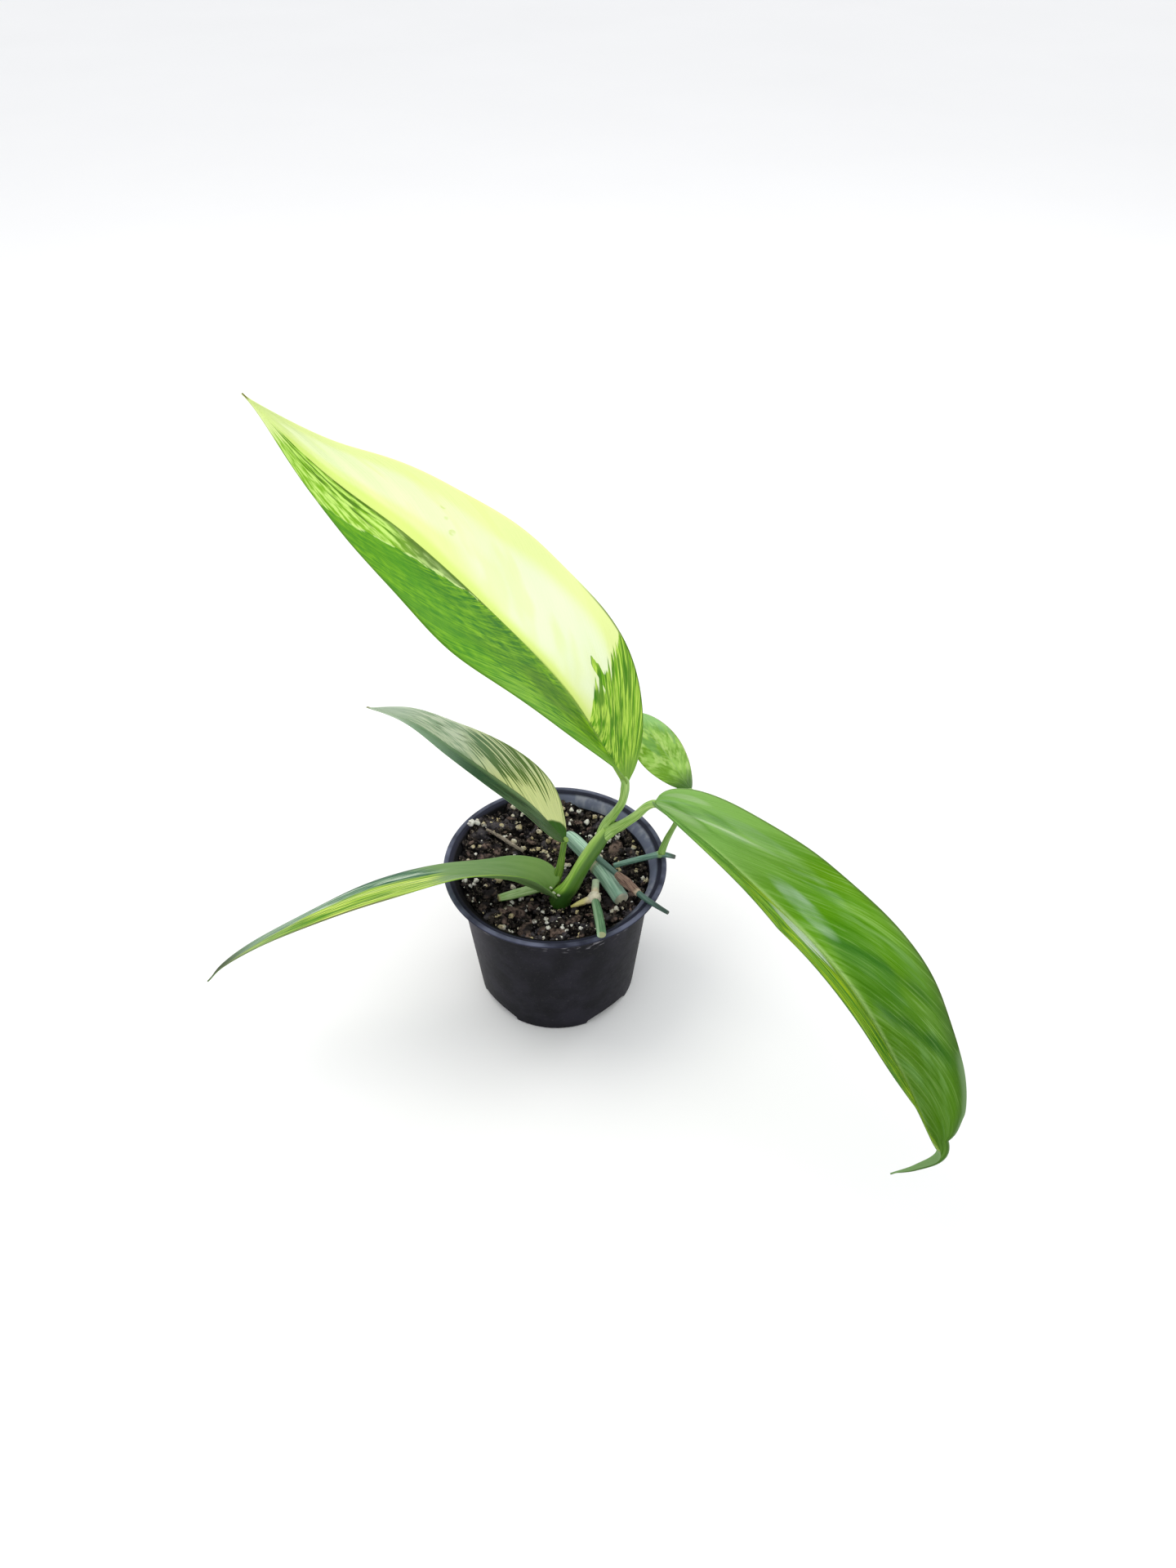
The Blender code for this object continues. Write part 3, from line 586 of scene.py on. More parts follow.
def stalk(name, route, radii, rings, relief=None, sides=STEM_SIDES):
    """A round stem on a smooth curve, closed at both ends. relief(t, turn) scales its radius.

    It keeps a reading named stem: how far along a point is, from 0 to 1, and its place in the round section.
    """
    spine = curve_points(route, rings + 1)
    side = Vector((0, 0, 1)).cross(spine[1] - spine[0])
    if side.length < 1e-6:
        side = Vector((1, 0, 0))
    frames = []
    for i, centre in enumerate(spine):
        ahead = (spine[min(i + 1, rings)] - spine[max(i - 1, 0)]).normalized()
        side = (side - ahead * side.dot(ahead)).normalized()
        frames.append((centre, side.copy(), ahead.cross(side)))
    rows = [(0, 0.0), (0, END_RING), *[(i, 1.0) for i in range(rings + 1)], (rings, END_RING), (rings, 0.0)]
    piece = new_piece(name, bpy.ops.mesh.primitive_grid_add, x_subdivisions=len(rows) - 1,
                      y_subdivisions=sides, size=2)
    readings = []
    for vertex in piece.data.vertices:
        i, share = rows[round((vertex.co.x + 1) / 2 * (len(rows) - 1))]
        turn = vertex.co.y * math.pi
        t = i / rings
        centre, across, up = frames[i]
        radius = steps_between(radii, t) * share
        if relief:
            radius *= relief(t, turn)
        if share == 1.0 and i in (0, rings):
            radius *= END_ROUNDING
        vertex.co = centre + (across * math.cos(turn) + up * math.sin(turn)) * radius
        readings.append((t, share * math.cos(turn), share * math.sin(turn)))
    keep_reading(piece, "stem", readings)
    bpy.ops.object.mode_set(mode="EDIT")
    bpy.ops.mesh.select_all(action="SELECT")
    bpy.ops.mesh.remove_doubles(threshold=0.00001)
    close_mesh()
    return piece


class StemFinish(Finish):
    """Smooth stem skin with long streaks, and the colour of the pith on the cut faces."""

    def __init__(self, name, light, dark, cut, streak=3.0):
        super().__init__(name, 0.4)
        self.along, self.a, self.b = self.parts(self.kept("stem"))
        self.core = self.a * self.a + self.b * self.b
        self.lines = self.grain(1, 3, self.point(self.along * streak, self.a * 5, self.b * 5))
        self.base = self.lay(dark, [(light, self.lines.rises(0.36, 0.64)),
                                    (cut, self.core.rises(0.93, 0.82))])

    def coat(self, rough, relief, layers=()):
        """The whole skin: more colours over the streaks, and a fine relief along them."""
        return self.paint(self.lay(self.base, layers), rough, self.lines, relief)


def ringed(node, height, width):
    """Relief with a raised ring at a stem's node."""
    return lambda t, turn: 1 + height * math.exp(-((t - node) / width)**2)


# The living shoot is two leaf stalks wrapped in one juicy green sheath, which opens where they part. It
# stands in the mix by its own foot.
def sheath_relief(t, turn):
    """A crease down the side where the second stalk lies along the first."""
    crease = math.exp(-((turn + 1.25) / 0.28)**2)
    crown = 0.10 * math.exp(-((t - 0.24) / 0.06)**2)
    opened = min(1.0, max(0.0, (t - 0.42) / 0.2))
    return 1 + crown - 0.16 * crease * opened + 0.012 * math.sin(7 * turn + 20 * t)


shoot = stalk("shoot_sheath", STEMS["shoot"], [0.0046, 0.0050, 0.0042, 0.0037, 0.0036, 0.0036, 0.0027], 60,
              sheath_relief)
skin = StemFinish("shoot_skin", (156, 196, 84), (112, 162, 48), (130, 170, 80))
along, b = skin.along, skin.b
# Paler towards the top, a painted highlight down the left side, painted shade down the right side, and darker
# towards the foot
shoot_skin = skin.coat(0.40, 0.00008, [
    ((182, 212, 120), along.rises(0.6, 1.0) * 0.35),
    ((186, 214, 120), b.rises(0.0, 0.5) * b.rises(0.98, 0.75) * along.rises(0.35, 0.5) * 0.5),
    ((54, 98, 22), b.rises(-0.02, -0.55) * 0.85),
    ((38, 76, 20), (along + 0.10 * b).rises(0.37, 0.27) * 0.93)])
finish_piece(shoot, shoot_skin, "fresh_stem", "shoot")


# The leaf stalks are thin and springy, paler than the shoot. Each grows out of a sheath or a node at its foot
# and ends in the midrib of its leaf.
def stalk_skin(name, light, dark):
    """The skin of a stalk that has no cut face."""
    return StemFinish(name, light, dark, light).coat(0.38, 0.00006)


PETIOLE_FOOT = (0.0200, -0.0082, 0.0985)
petiole_skin = stalk_skin("petiole_skin", (174, 206, 118), (122, 166, 74))
for name, top, radii in (
        ("petiole_a", (0.0306, -0.0094, 0.1386),
         [0.0022, 0.0026, 0.0023, 0.0019, 0.0018, 0.0018, 0.0020, 0.0017]),
        ("petiole_b", (0.0441, -0.0257, 0.1382),
         [0.0022, 0.0026, 0.0024, 0.0021, 0.0020, 0.0019, 0.0018, 0.0017])):
    petiole = stalk(name + "_stalk", [PETIOLE_FOOT, *STEMS[name], top], radii, 56)
    finish_piece(petiole, petiole_skin, "fresh_stem", name)
petiole_c = stalk("petiole_c_stalk", [*STEMS["petiole_c"], (0.0056, -0.0070, 0.0992)],
                  [0.0022, 0.0025, 0.0026, 0.0019, 0.0014, 0.0014], 48)
petiole_skin = stalk_skin("petiole_c_skin", (132, 164, 70), (78, 118, 40))
finish_piece(petiole_c, petiole_skin, "fresh_stem", "petiole_c")
petiole_e = stalk("petiole_e_stalk",
                  [(0.0500, 0.0018, 0.0806), *STEMS["petiole_e"], (0.0622, 0.0103, 0.1146)],
                  [0.0018, 0.0015, 0.0012, 0.0012, 0.0012, 0.0013], 40)
petiole_skin = stalk_skin("petiole_e_skin", (138, 176, 84), (86, 128, 50))
finish_piece(petiole_e, petiole_skin, "fresh_stem", "petiole_e")

# The stub on the left is the rest of a stalk that was cut off: pale green and smooth, with a dried end. It
# lies half sunk in the peat.
stub = stalk("stub_cut", STEMS["left_stub"], [0.0023, 0.0023, 0.0022, 0.0017], 30)
skin = StemFinish("stub_skin", (206, 236, 170), (156, 202, 114), (168, 156, 112))
# Painted shade along the underside, and the dried colour at the cut end
stub_skin = skin.coat(0.45, 0.00008, [
    ((80, 120, 46), skin.b.rises(0.10, -0.45) * 0.75),
    ((170, 158, 110), skin.along.rises(0.93, 1.0) * 0.7)])
finish_piece(stub, stub_skin, "fresh_stem", "left_stub")


# A dry twig, grey and fibrous, lies loose on the soil behind. Scraps of the first sheath, torn and dried to
# paper, stand at the crown of the shoot.
def twig_relief(t, turn):
    """Knots and hollows along the twig."""
    return 1 + 0.25 * noise.noise(Vector((12 * t, math.cos(turn), math.sin(turn))))


twig = stalk("dry_twig", [on_soil(x, y, 0.0013) for x, y in TWIG], [0.0006, 0.0009, 0.0010, 0.0007], 30,
             twig_relief, 12)
twig_skin = StemFinish("twig_skin", (170, 158, 142), (104, 94, 84), (176, 160, 134), 12.0).coat(0.8, 0.0002)
finish_piece(twig, twig_skin, "potting_soil")
scrap_skin = StemFinish("scrap_skin", (222, 226, 208), (168, 176, 140), (226, 226, 210), 6.0)
scrap_skin = scrap_skin.coat(0.7, 0.0001)
for k, route in enumerate((
        [(-0.0010, -0.0168, 0.0742), (-0.0004, -0.0176, 0.0752), (0.0006, -0.0182, 0.0750)],
        [(0.0012, -0.0180, 0.0738), (0.0018, -0.0186, 0.0746), (0.0026, -0.0188, 0.0742)],
        [(-0.0016, -0.0150, 0.0752), (-0.0018, -0.0156, 0.0764), (-0.0010, -0.0164, 0.0768)])):
    scrap = stalk("sheath_scrap_" + str(k + 1), route, [0.0002, 0.0006, 0.0003], 10, None, 8)
    finish_piece(scrap, scrap_skin, "dry_sheath")

# The old cutting is a woody length of stem, thick and blue-green with a waxy bloom. It lies on the mix, with
# a ring and a tan scar at its node and a pale cut face at its end.
CUTTING_NODE = 0.58
CUTTING_SCAR = 0.61
cutting = stalk("old_cutting_stem", STEMS["old_cutting"],
                [0.0039, 0.0039, 0.0039, 0.0039, 0.0041, 0.0039, 0.0038, 0.0038], 70,
                ringed(CUTTING_NODE, 0.10, 0.012))
skin = StemFinish("cutting_skin", (188, 222, 200), (126, 168, 144), (252, 246, 220))
along, a, b = skin.along, skin.a, skin.b
# Painted shade down its left side and a painted highlight on its upper right side, then the ring and the tan
# scar at the node and the pale core of the cut face
cutting_skin = skin.coat(0.5, 0.0001, [
    ((76, 114, 92), a.rises(-0.15, -0.75) * a.rises(-1.0, -0.94) * 0.55),
    ((182, 210, 190), a.rises(0.0, 0.4) * a.rises(0.90, 0.60) * b.rises(0.0, 0.3) * 0.4),
    ((168, 158, 124), abs(along - CUTTING_NODE).rises(0.022, 0.010) * 0.8),
    ((112, 120, 84), abs(along - CUTTING_SCAR).rises(0.020, 0.006) * 0.5),
    ((206, 206, 164), skin.core.rises(0.50, 0.25) * 0.35)])
finish_piece(cutting, cutting_skin, "old_stem", "old_cutting")

# The runners are thin and woody, dark blue-green. One lies out over the rim on the right, the other rests on
# the rim behind it and carries the small leaf at its node.
runner = stalk("runner_stem", STEMS["runner"], [0.0014, 0.0015, 0.0014, 0.0014, 0.0013, 0.0009], 60)
skin = StemFinish("runner_skin", (92, 124, 112), (44, 76, 66), (96, 100, 84))
runner_skin = skin.coat(0.5, 0.0001, [((30, 50, 42), skin.along.rises(0.72, 0.98) * 0.7)])
finish_piece(runner, runner_skin, "old_stem", "runner")

SIDE_NODE = 0.745
side = stalk("side_runner_stem", STEMS["side_runner"], [0.0013, 0.0014, 0.0014, 0.0015, 0.0010], 50,
             ringed(SIDE_NODE, 0.22, 0.03))
skin = StemFinish("side_runner_skin", (134, 168, 156), (60, 104, 84), (96, 96, 88))
side_skin = skin.coat(0.5, 0.0001, [
    ((140, 176, 112), abs(skin.along - SIDE_NODE).rises(0.07, 0.02) * 0.8),
    ((74, 78, 74), skin.along.rises(0.86, 1.0) * 0.9)])
finish_piece(side, side_skin, "old_stem", "side_runner")

# The front cutting is a short green stem, cut off flat, that runs from the knob to the front of the rim. A
# painted highlight runs along its left side.
front = stalk("front_cutting_stem", STEMS["front_cutting"], [0.0019, 0.0022, 0.0022, 0.0021], 40)
skin = StemFinish("front_skin", (104, 146, 104), (60, 100, 64), (150, 156, 112))
front_skin = skin.coat(0.5, 0.0001, [
    ((156, 188, 152), skin.a.rises(-0.25, -0.55) * skin.a.rises(-0.98, -0.85) * 0.7)])
finish_piece(front, front_skin, "old_stem", "front_cutting")


# The dry sheath is a brown leaf scale, papery and torn at its ends. It has curled round the runner as it
# dried and holds on by that alone.
def husk_relief(t, turn):
    """Creases of the dried sheath, with a soft twist."""
    return (1 + 0.10 * noise.noise(Vector((9 * t, 2 * math.cos(turn), 2 * math.sin(turn))))
            + 0.05 * math.sin(5 * turn + 8 * t))


runner_line = curve_points(STEMS["runner"], 51)
husk = stalk("runner_husk", runner_line[18:36:3], [0.0017, 0.0023, 0.0024, 0.0020, 0.0017], 40, husk_relief)
skin = StemFinish("husk_skin", (152, 124, 108), (90, 68, 58), (186, 172, 152))
husk_skin = skin.coat(0.8, 0.0003, [((190, 172, 148), skin.along.rises(0.86, 1.0) * 0.9)])
finish_piece(husk, husk_skin, "dry_sheath", "runner_sheath")

# The knob is a pale corky swelling on the short cutting. A thick aerial root grows out of it to the left, and
# a dried pale shoot to the back.
KNOB_CENTRE = Vector((0.0186, -0.0168, 0.0707))
KNOB_RADIUS = 0.0032
KNOB_ROUGH = 0.13
knob = new_piece("root_swelling", bpy.ops.mesh.primitive_ico_sphere_add, subdivisions=5, radius=KNOB_RADIUS)
for vertex in knob.data.vertices:
    lumps = noise.noise(vertex.co * 480) + 0.4 * noise.noise(vertex.co * 1400)
    vertex.co = KNOB_CENTRE + vertex.co * (1 + KNOB_ROUGH * lumps)


def root_relief(t, turn):
    """Soft lumps along the root."""
    return 1 + 0.08 * noise.noise(Vector((14 * t, math.cos(turn), math.sin(turn))))


root = stalk("aerial_root", STEMS["root"], [0.0021, 0.0018, 0.0015, 0.0011, 0.0005], 36, root_relief)
dried = stalk("pale_shoot", [KNOB_CENTRE, (0.0189, -0.0120, 0.0718), (0.0192, -0.0078, 0.0730)],
              [0.0019, 0.0018, 0.0017], 24)
skin = StemFinish("root_skin", (234, 224, 194), (204, 188, 152), (228, 220, 196))
x, y = skin.parts(skin.here())[:2]
pale = skin.lay(skin.base, [
    ((212, 204, 124), x.rises(0.0158, 0.0130) * 0.85),
    ((170, 164, 84), x.rises(0.0105, 0.0080) * 0.7),
    ((176, 200, 168), y.rises(-0.0140, -0.0115) * 0.85),
    ((150, 124, 92), skin.grain(620, 3).rises(0.56, 0.70) * 0.5)])
root_finish = skin.paint(pale, 0.7, skin.grain(1500, 3), 0.0003)
for piece, nodes in ((knob, ["root_knob"]), (root, []), (dried, [])):
    finish_piece(piece, root_finish, "pale_root", *nodes)

# The leaf blades are thin and firm, folded along a sunk midrib that stands out as a keel beneath. Fine side
# veins leave the rib forward at a slant and carry the streaks of cream and green. Each grows on its stalk.
BLADE = 0.00055
BASE_WIDTH = 0.0016
TIP_WIDTH = 0.0004
RIB_WIDTH = 0.0011
RIB_KEEL = 0.0013
RIB_FADE = 0.8
GROOVE_SHARE = 0.5
KEEL_SHARE = 0.8
EDGE_START = 0.9
EDGE_THINNING = 0.45
TIP_THINNING = 0.35
COLUMN_CROWDING = 1.25


def blend(values, t):
    """A smooth run from the first value to the last, drawn towards those between."""
    last = len(values) - 1
    return sum(math.comb(last, i) * t**i * (1 - t)**(last - i) * v for i, v in enumerate(values))


def blade(name, midrib, half_width, swell, taper, roll, fold_left, fold_right, curl_left, curl_right,
          rows, columns, ripple=0.0, waves=4, tail_share=1.0, tail_width=0.0, tail_roll=0,
          pleats=9, pleat_depth=0.0002, slant=0.3):
    """A blade on a smooth midrib.

    swell and taper shape its outline from the base and to the tip. roll turns the whole section about the
    midrib, fold lifts each half from it, and curl bends each half on towards its margin, all in degrees.
    It keeps a reading named blade: t from base to tip, hand from -1 at the right margin to 1 at the left,
    and 1 on the underside.
    """
    spine = curve_points(midrib, rows + 1)
    peak = swell / (swell + taper)
    widest = peak**swell * (1 - peak)**taper
    side = Vector((0, 0, 1)).cross(spine[1] - spine[0]).normalized()
    sections = []
    for i, centre in enumerate(spine):
        t = i / rows
        ahead = (spine[min(i + 1, rows)] - spine[max(i - 1, 0)]).normalized()
        side = (side - ahead * side.dot(ahead)).normalized()
        up = ahead.cross(side)
        past = max(0.0, t - tail_share) / (1.01 - tail_share)
        turn = math.radians(blend(roll, t) + tail_roll * min(1.0, 2 * past))
        across = side * math.cos(turn) + up * math.sin(turn)
        lift = up * math.cos(turn) - side * math.sin(turn)
        reach = min(t / tail_share, 1.0)
        width = half_width * reach**swell * (1 - reach)**taper / widest
        if tail_width and t > 0.5:
            width = max(width, tail_width * min(1.0, (1 - t) / (1 - tail_share)))
        sections.append((centre, across, lift, max(width, BASE_WIDTH * (1 - t) + TIP_WIDTH * t), t))

    piece = new_piece(name, bpy.ops.mesh.primitive_grid_add, x_subdivisions=rows, y_subdivisions=columns,
                      size=2)
    readings, depths = [], []
    for vertex in piece.data.vertices:
        centre, across, lift, width, t = sections[round((vertex.co.x + 1) / 2 * rows)]
        # Columns stand closer together near the rib, where the groove is.
        hand = math.copysign(abs(vertex.co.y)**COLUMN_CROWDING, vertex.co.y)
        u = abs(hand)
        fold = math.radians(blend(fold_left if hand > 0 else fold_right, t))
        curl = math.radians(curl_left if hand > 0 else curl_right) + 1e-6
        out = (math.sin(fold + curl * u) - math.sin(fold)) / curl * width
        rise = (math.cos(fold) - math.cos(fold + curl * u)) / curl * width
        wave = math.sin(2 * math.pi * waves * t + (0.9 if hand > 0 else 2.3)) * math.sin(math.pi * t)
        start = t - slant * u
        pleat = math.sin(2 * math.pi * (pleats * start + 0.35 * noise.noise(Vector((3 * start, hand, 0)))))
        pleat *= pleat_depth * math.sin(math.pi * min(1.0, u * 1.1)) * min(1.0, width / (0.6 * half_width))
        on_rib = math.exp(-(u * width / RIB_WIDTH)**2) * (1 - RIB_FADE * t)
        rise += ripple * u * u * wave + pleat - GROOVE_SHARE * RIB_KEEL * on_rib
        vertex.co = centre + across * math.copysign(out, hand) + lift * rise
        edge = max(0.0, u - EDGE_START) / (1 - EDGE_START)
        skin_depth = BLADE * (1 - EDGE_THINNING * edge) * (1 - TIP_THINNING * t)
        depths.append(skin_depth + KEEL_SHARE * RIB_KEEL * on_rib)
        readings.append((t, hand, 0))
    keep_reading(piece, "blade", readings)
    thick = piece.vertex_groups.new(name="thick")
    for k, depth in enumerate(depths):
        thick.add([k], min(1.0, depth / (BLADE + RIB_KEEL)), "REPLACE")
    top = len(readings)
    shell = piece.modifiers.new("shell", "SOLIDIFY")
    shell.thickness = BLADE + RIB_KEEL
    shell.offset = 0
    shell.vertex_group = "thick"
    apply_all(piece)
    for place in piece.data.attributes["blade"].data[top:]:
        place.vector = place.vector.x, place.vector.y, 1
    return piece


# A skin looks paler than its own colour, by the gloss that lies over it.
GLOSS_VEIL = 0.035
STAGE_GAIN = 1.03


def skin_tone(red, green, blue):
    """The skin colour that shows as a display colour on the lit leaf."""
    return (*[max(0.002, (c - GLOSS_VEIL) / STAGE_GAIN) for c in colour(red, green, blue)[:3]], 1)


class BladeFinish(Finish):
    """A leaf skin: it reads where a point lies on the blade, and draws streaks along the side veins."""

    tint = staticmethod(skin_tone)

    def __init__(self, name, slant, bow=1.3):
        super().__init__(name, 0.2)
        self.t, self.hand, self.under = self.parts(self.kept("blade"))
        self.u = abs(self.hand)
        self.left = self.hand.rises(-0.01, 0.01)
        self.start = self.t - slant * self.u**bow

    def streaks(self, across, along, seed=0.0, detail=3):
        """Noise about 0.5, drawn out along the veins: how many streaks to the length, and how short."""
        return self.grain(1, detail, self.point(self.start * across, self.u * along, self.left * 9 + seed))

    def run(self, long, wide, seed=0.0, detail=3):
        """Noise about 0.5, drawn out along the rib: how many clouds to the length and to the width."""
        return self.grain(1, detail, self.point(self.t * long, self.hand * wide, seed))

    def near(self, t, u, long, wide):
        """A soft spot on the blade, 1 at its middle."""
        away = ((self.t - t) / long)**2 + ((self.u - u) / wide)**2
        return away.rises(1.0, 0.3)

    def skin(self, base, below, gloss=0.36):
        """The whole leaf: upper side, paler dull underside, a fine vein relief and a waxy gloss."""
        veins = self.streaks(150, 3, 4.0, 2)
        base = self.lay(base, [(below, self.under.rises(0.3, 0.7))])
        rough = gloss + 0.12 * self.grain(260, 3) + 0.22 * self.under
        return self.paint(base, rough, veins + 0.25 * self.grain(1200, 2), 0.00012)


def plane_route(base, heading_deg, profile):
    """Points in the upright plane through a base, from pairs of distance out and height."""
    heading = math.radians(heading_deg)
    ahead = Vector((math.cos(heading), math.sin(heading), 0))
    ground = Vector((*base, 0))
    return [ground + ahead * out + Vector((0, 0, height)) for out, height in profile]


# The largest leaf rises to the back left on its stalk. One half of its blade is cream with a jagged green
# patch at the base, and the other half is green.
leaf = blade("blade_a", plane_route((0.0319, -0.0102), 150, [
                 (0, 0.1361), (0.029, 0.175), (0.066, 0.203), (0.104, 0.226), (0.147, 0.245),
                 (0.184, 0.270)]),
             half_width=0.0365, swell=0.67, taper=1.24, roll=(12, -13, -7, -20), fold_left=(41, -13, 41),
             fold_right=(37, -9, 46), curl_left=2, curl_right=13, rows=230, columns=72, ripple=0.0008,
             pleats=8, pleat_depth=0.00022)
wax = BladeFinish("leaf_a_skin", 0.26, 1.5)
t, u = wax.t, wax.u
fine, hair = wax.streaks(120, 5), wax.streaks(300, 9, 3.0, 2)
broad, soft = wax.streaks(34, 2.2, 2.0), wax.streaks(10, 1.6, 5.0, 2)
flow, fleck = wax.run(13, 12), wax.run(38, 16, 3.0)
# A mottled band widens along the rib towards the tip, olive at first and lime later.
border = 5.8 * t.above(0.375)**1.8 + 0.10 * (broad - 0.5) + 0.14 * (flow - 0.5)
band = (border - u).rises(0.0, 0.02)
lime = wax.lay((126, 178, 52), [((196, 232, 124), (flow * 0.5 + fleck * 0.5).rises(0.42, 0.60))])
mottle = wax.lay((110, 138, 74), [
    ((168, 196, 122), (flow * 0.6 + fleck * 0.4).rises(0.44, 0.58)),
    (lime, (t + 0.25 * u).rises(0.56, 0.72)),
    ((84, 122, 40), flow.rises(0.50, 0.40) * wax.near(0.77, 0.14, 0.20, 0.50) * 0.9),
    ((84, 112, 58), u.rises(0.12, 0.02) * t.rises(0.86, 0.74) * 0.8)])
# The green half, with a pale line on the border of the band
meadow = wax.lay((62, 116, 0), [
    ((136, 186, 42), (fine * 0.4 + hair * 0.3 + fleck * 0.3).rises(0.40, 0.60)),
    ((160, 204, 72), (fleck * 0.5 + fine * 0.5).rises(0.56, 0.64) * 0.55),
    # Darker bands, and other greens from place to place
    ((76, 126, 20), soft.rises(0.55, 0.38) * 0.45),
    ((80, 146, 4), wax.near(0.52, 0.36, 0.18, 0.36) * 0.3),
    ((96, 160, 10), (u * 0.9 + t).rises(0.75, 1.10) * 0.5),
    ((80, 112, 50), wax.near(0.20, 0.36, 0.12, 0.30) * 0.45),
    ((146, 186, 84), wax.near(0.14, 0.88, 0.26, 0.34) * fine.rises(0.40, 0.62) * 0.5),
    ((108, 146, 60), t.rises(0.10, 0.03) * 0.7),
    # The band and the pale line on its border
    (mottle, band),
    ((206, 230, 152), abs(border - u - 0.012).rises(0.024, 0.006) * t.rises(0.39, 0.45) * t.rises(0.74, 0.60)
     * fleck.rises(0.40, 0.52) * 0.85)])
# The cream half, with its green patch
jag = t - 0.140 - 0.085 * u - 0.12 * (wax.streaks(46, 0.9, 7.0, 3) - 0.5)
jag = jag - 0.030 * wax.near(0.19, 0.50, 0.10, 0.05)
patch = wax.lay((112, 172, 30), [
    ((202, 236, 104), (fine * 0.4 + hair * 0.6).rises(0.42, 0.56)),
    ((72, 126, 14), wax.streaks(70, 4, 11.0).rises(0.54, 0.42) * 0.75)])
cream = wax.lay((240, 252, 174), [
    ((245, 255, 214), wax.near(0.32, 0.44, 0.26, 0.44)),
    ((244, 254, 204), wax.near(0.72, 0.54, 0.36, 0.30) * 0.9),
    ((236, 250, 158), soft.rises(0.50, 0.64) * 0.4),
    ((224, 246, 132), (u - 0.10 * t.rises(0.40, 0.70)).rises(0.13, 0.02) * 0.8),
    # Three small yellowish flecks
    ((212, 228, 136), (wax.near(0.553, 0.42, 0.008, 0.05) + wax.near(0.578, 0.54, 0.005, 0.03)
     + wax.near(0.595, 0.66, 0.007, 0.04)) * fleck.rises(0.35, 0.6) * 0.7)])
cream = wax.lay(patch, [
    (cream, jag.rises(-0.002, 0.003)),
    # A green edge beside the patch
    ((88, 120, 40), u.rises(0.972, 0.99) * t.rises(0.36, 0.26) * 0.8)])
rib = (u * (0.20 + 1.9 * t)).rises(0.080, 0.025) * wax.left * t.rises(0.42, 0.15)
top = wax.lay(cream, [
    (meadow, wax.left),
    # The pale tip, the green foot, the left margin and the brown point
    ((228, 244, 168), (t + 0.14 * (flow - 0.5)).rises(0.88, 0.93)),
    ((132, 172, 86), (t - 0.02 * wax.left).rises(0.05, 0.015) * 0.75),
    ((84, 122, 40), wax.hand.rises(0.955, 0.985) * 0.5),
    ((112, 108, 70), t.rises(0.980, 0.992)),
    # The shade beside the sunk rib at its foot, the pale line along it there and the green one further on
    ((124, 156, 80), rib * 0.8),
    ((190, 214, 116), u.rises(0.03, 0.01) * t.rises(0.40, 0.25) * 0.7),
    ((116, 150, 62), u.rises(0.035, 0.010) * wax.left * t.rises(0.30, 0.42) * t.rises(0.88, 0.78) * 0.8)])
below = wax.lay((222, 236, 160), [((142, 178, 92), wax.left * t.rises(0.9, 0.8))])
finish_piece(leaf, wax.skin(top, below), "leaf_cream_green", "leaf_a")

# The second leaf arches out to the front right, bends down past the rim and ends in a hanging tail. It is mid
# green with lighter streaks, darker and flecked with gold on its right half.
leaf = blade("blade_b", [
                 (0.0434, -0.0253, 0.1383), (0.0678, -0.0497, 0.1345), (0.0960, -0.0717, 0.1185),
                 (0.1183, -0.0985, 0.1079), (0.1407, -0.1135, 0.0737), (0.1510, -0.1265, 0.0567),
                 (0.1569, -0.1320, 0.0457), (0.1491, -0.1340, 0.0379), (0.1392, -0.1355, 0.0338)],
             half_width=0.0300, swell=0.44, taper=0.40, roll=(9, 11, -2, 9), fold_left=(58, 24, 48),
             fold_right=(60, 35, 57), curl_left=22, curl_right=4, rows=238, columns=72, ripple=0.0007,
             tail_share=0.88, tail_width=0.0052, tail_roll=10, pleats=6, pleat_depth=0.00030, slant=0.36)
wax = BladeFinish("leaf_b_skin", 0.36, 1.1)
t, u = wax.t, wax.u
fine, broad, soft = wax.streaks(90, 3.5), wax.streaks(24, 1.6, 2.0), wax.streaks(10, 1.2, 5.0, 2)
flow = wax.run(7, 4)
# Painted shade lies in the troughs that run forward to the margin between the swells of the blade.
troughs = []
for middle, lean, depth in ((0.375, 0.27, 0.020), (0.545, 0.22, 0.024)):
    trough = abs(t - lean * u - middle + 0.03 * (flow - 0.5)).rises(depth * 1.8, 0.0)
    trough = trough * u.rises(0.10, 0.30) * u.rises(1.0, 0.72) * wax.left
    troughs.append(((64, 112, 18), trough * (0.45 + 0.8 * flow).rises(0.5, 1.0) * 0.85))
right = wax.left.rises(0.6, 0.4)
gold = wax.run(9, 20, 8.0).rises(0.51, 0.58) * right
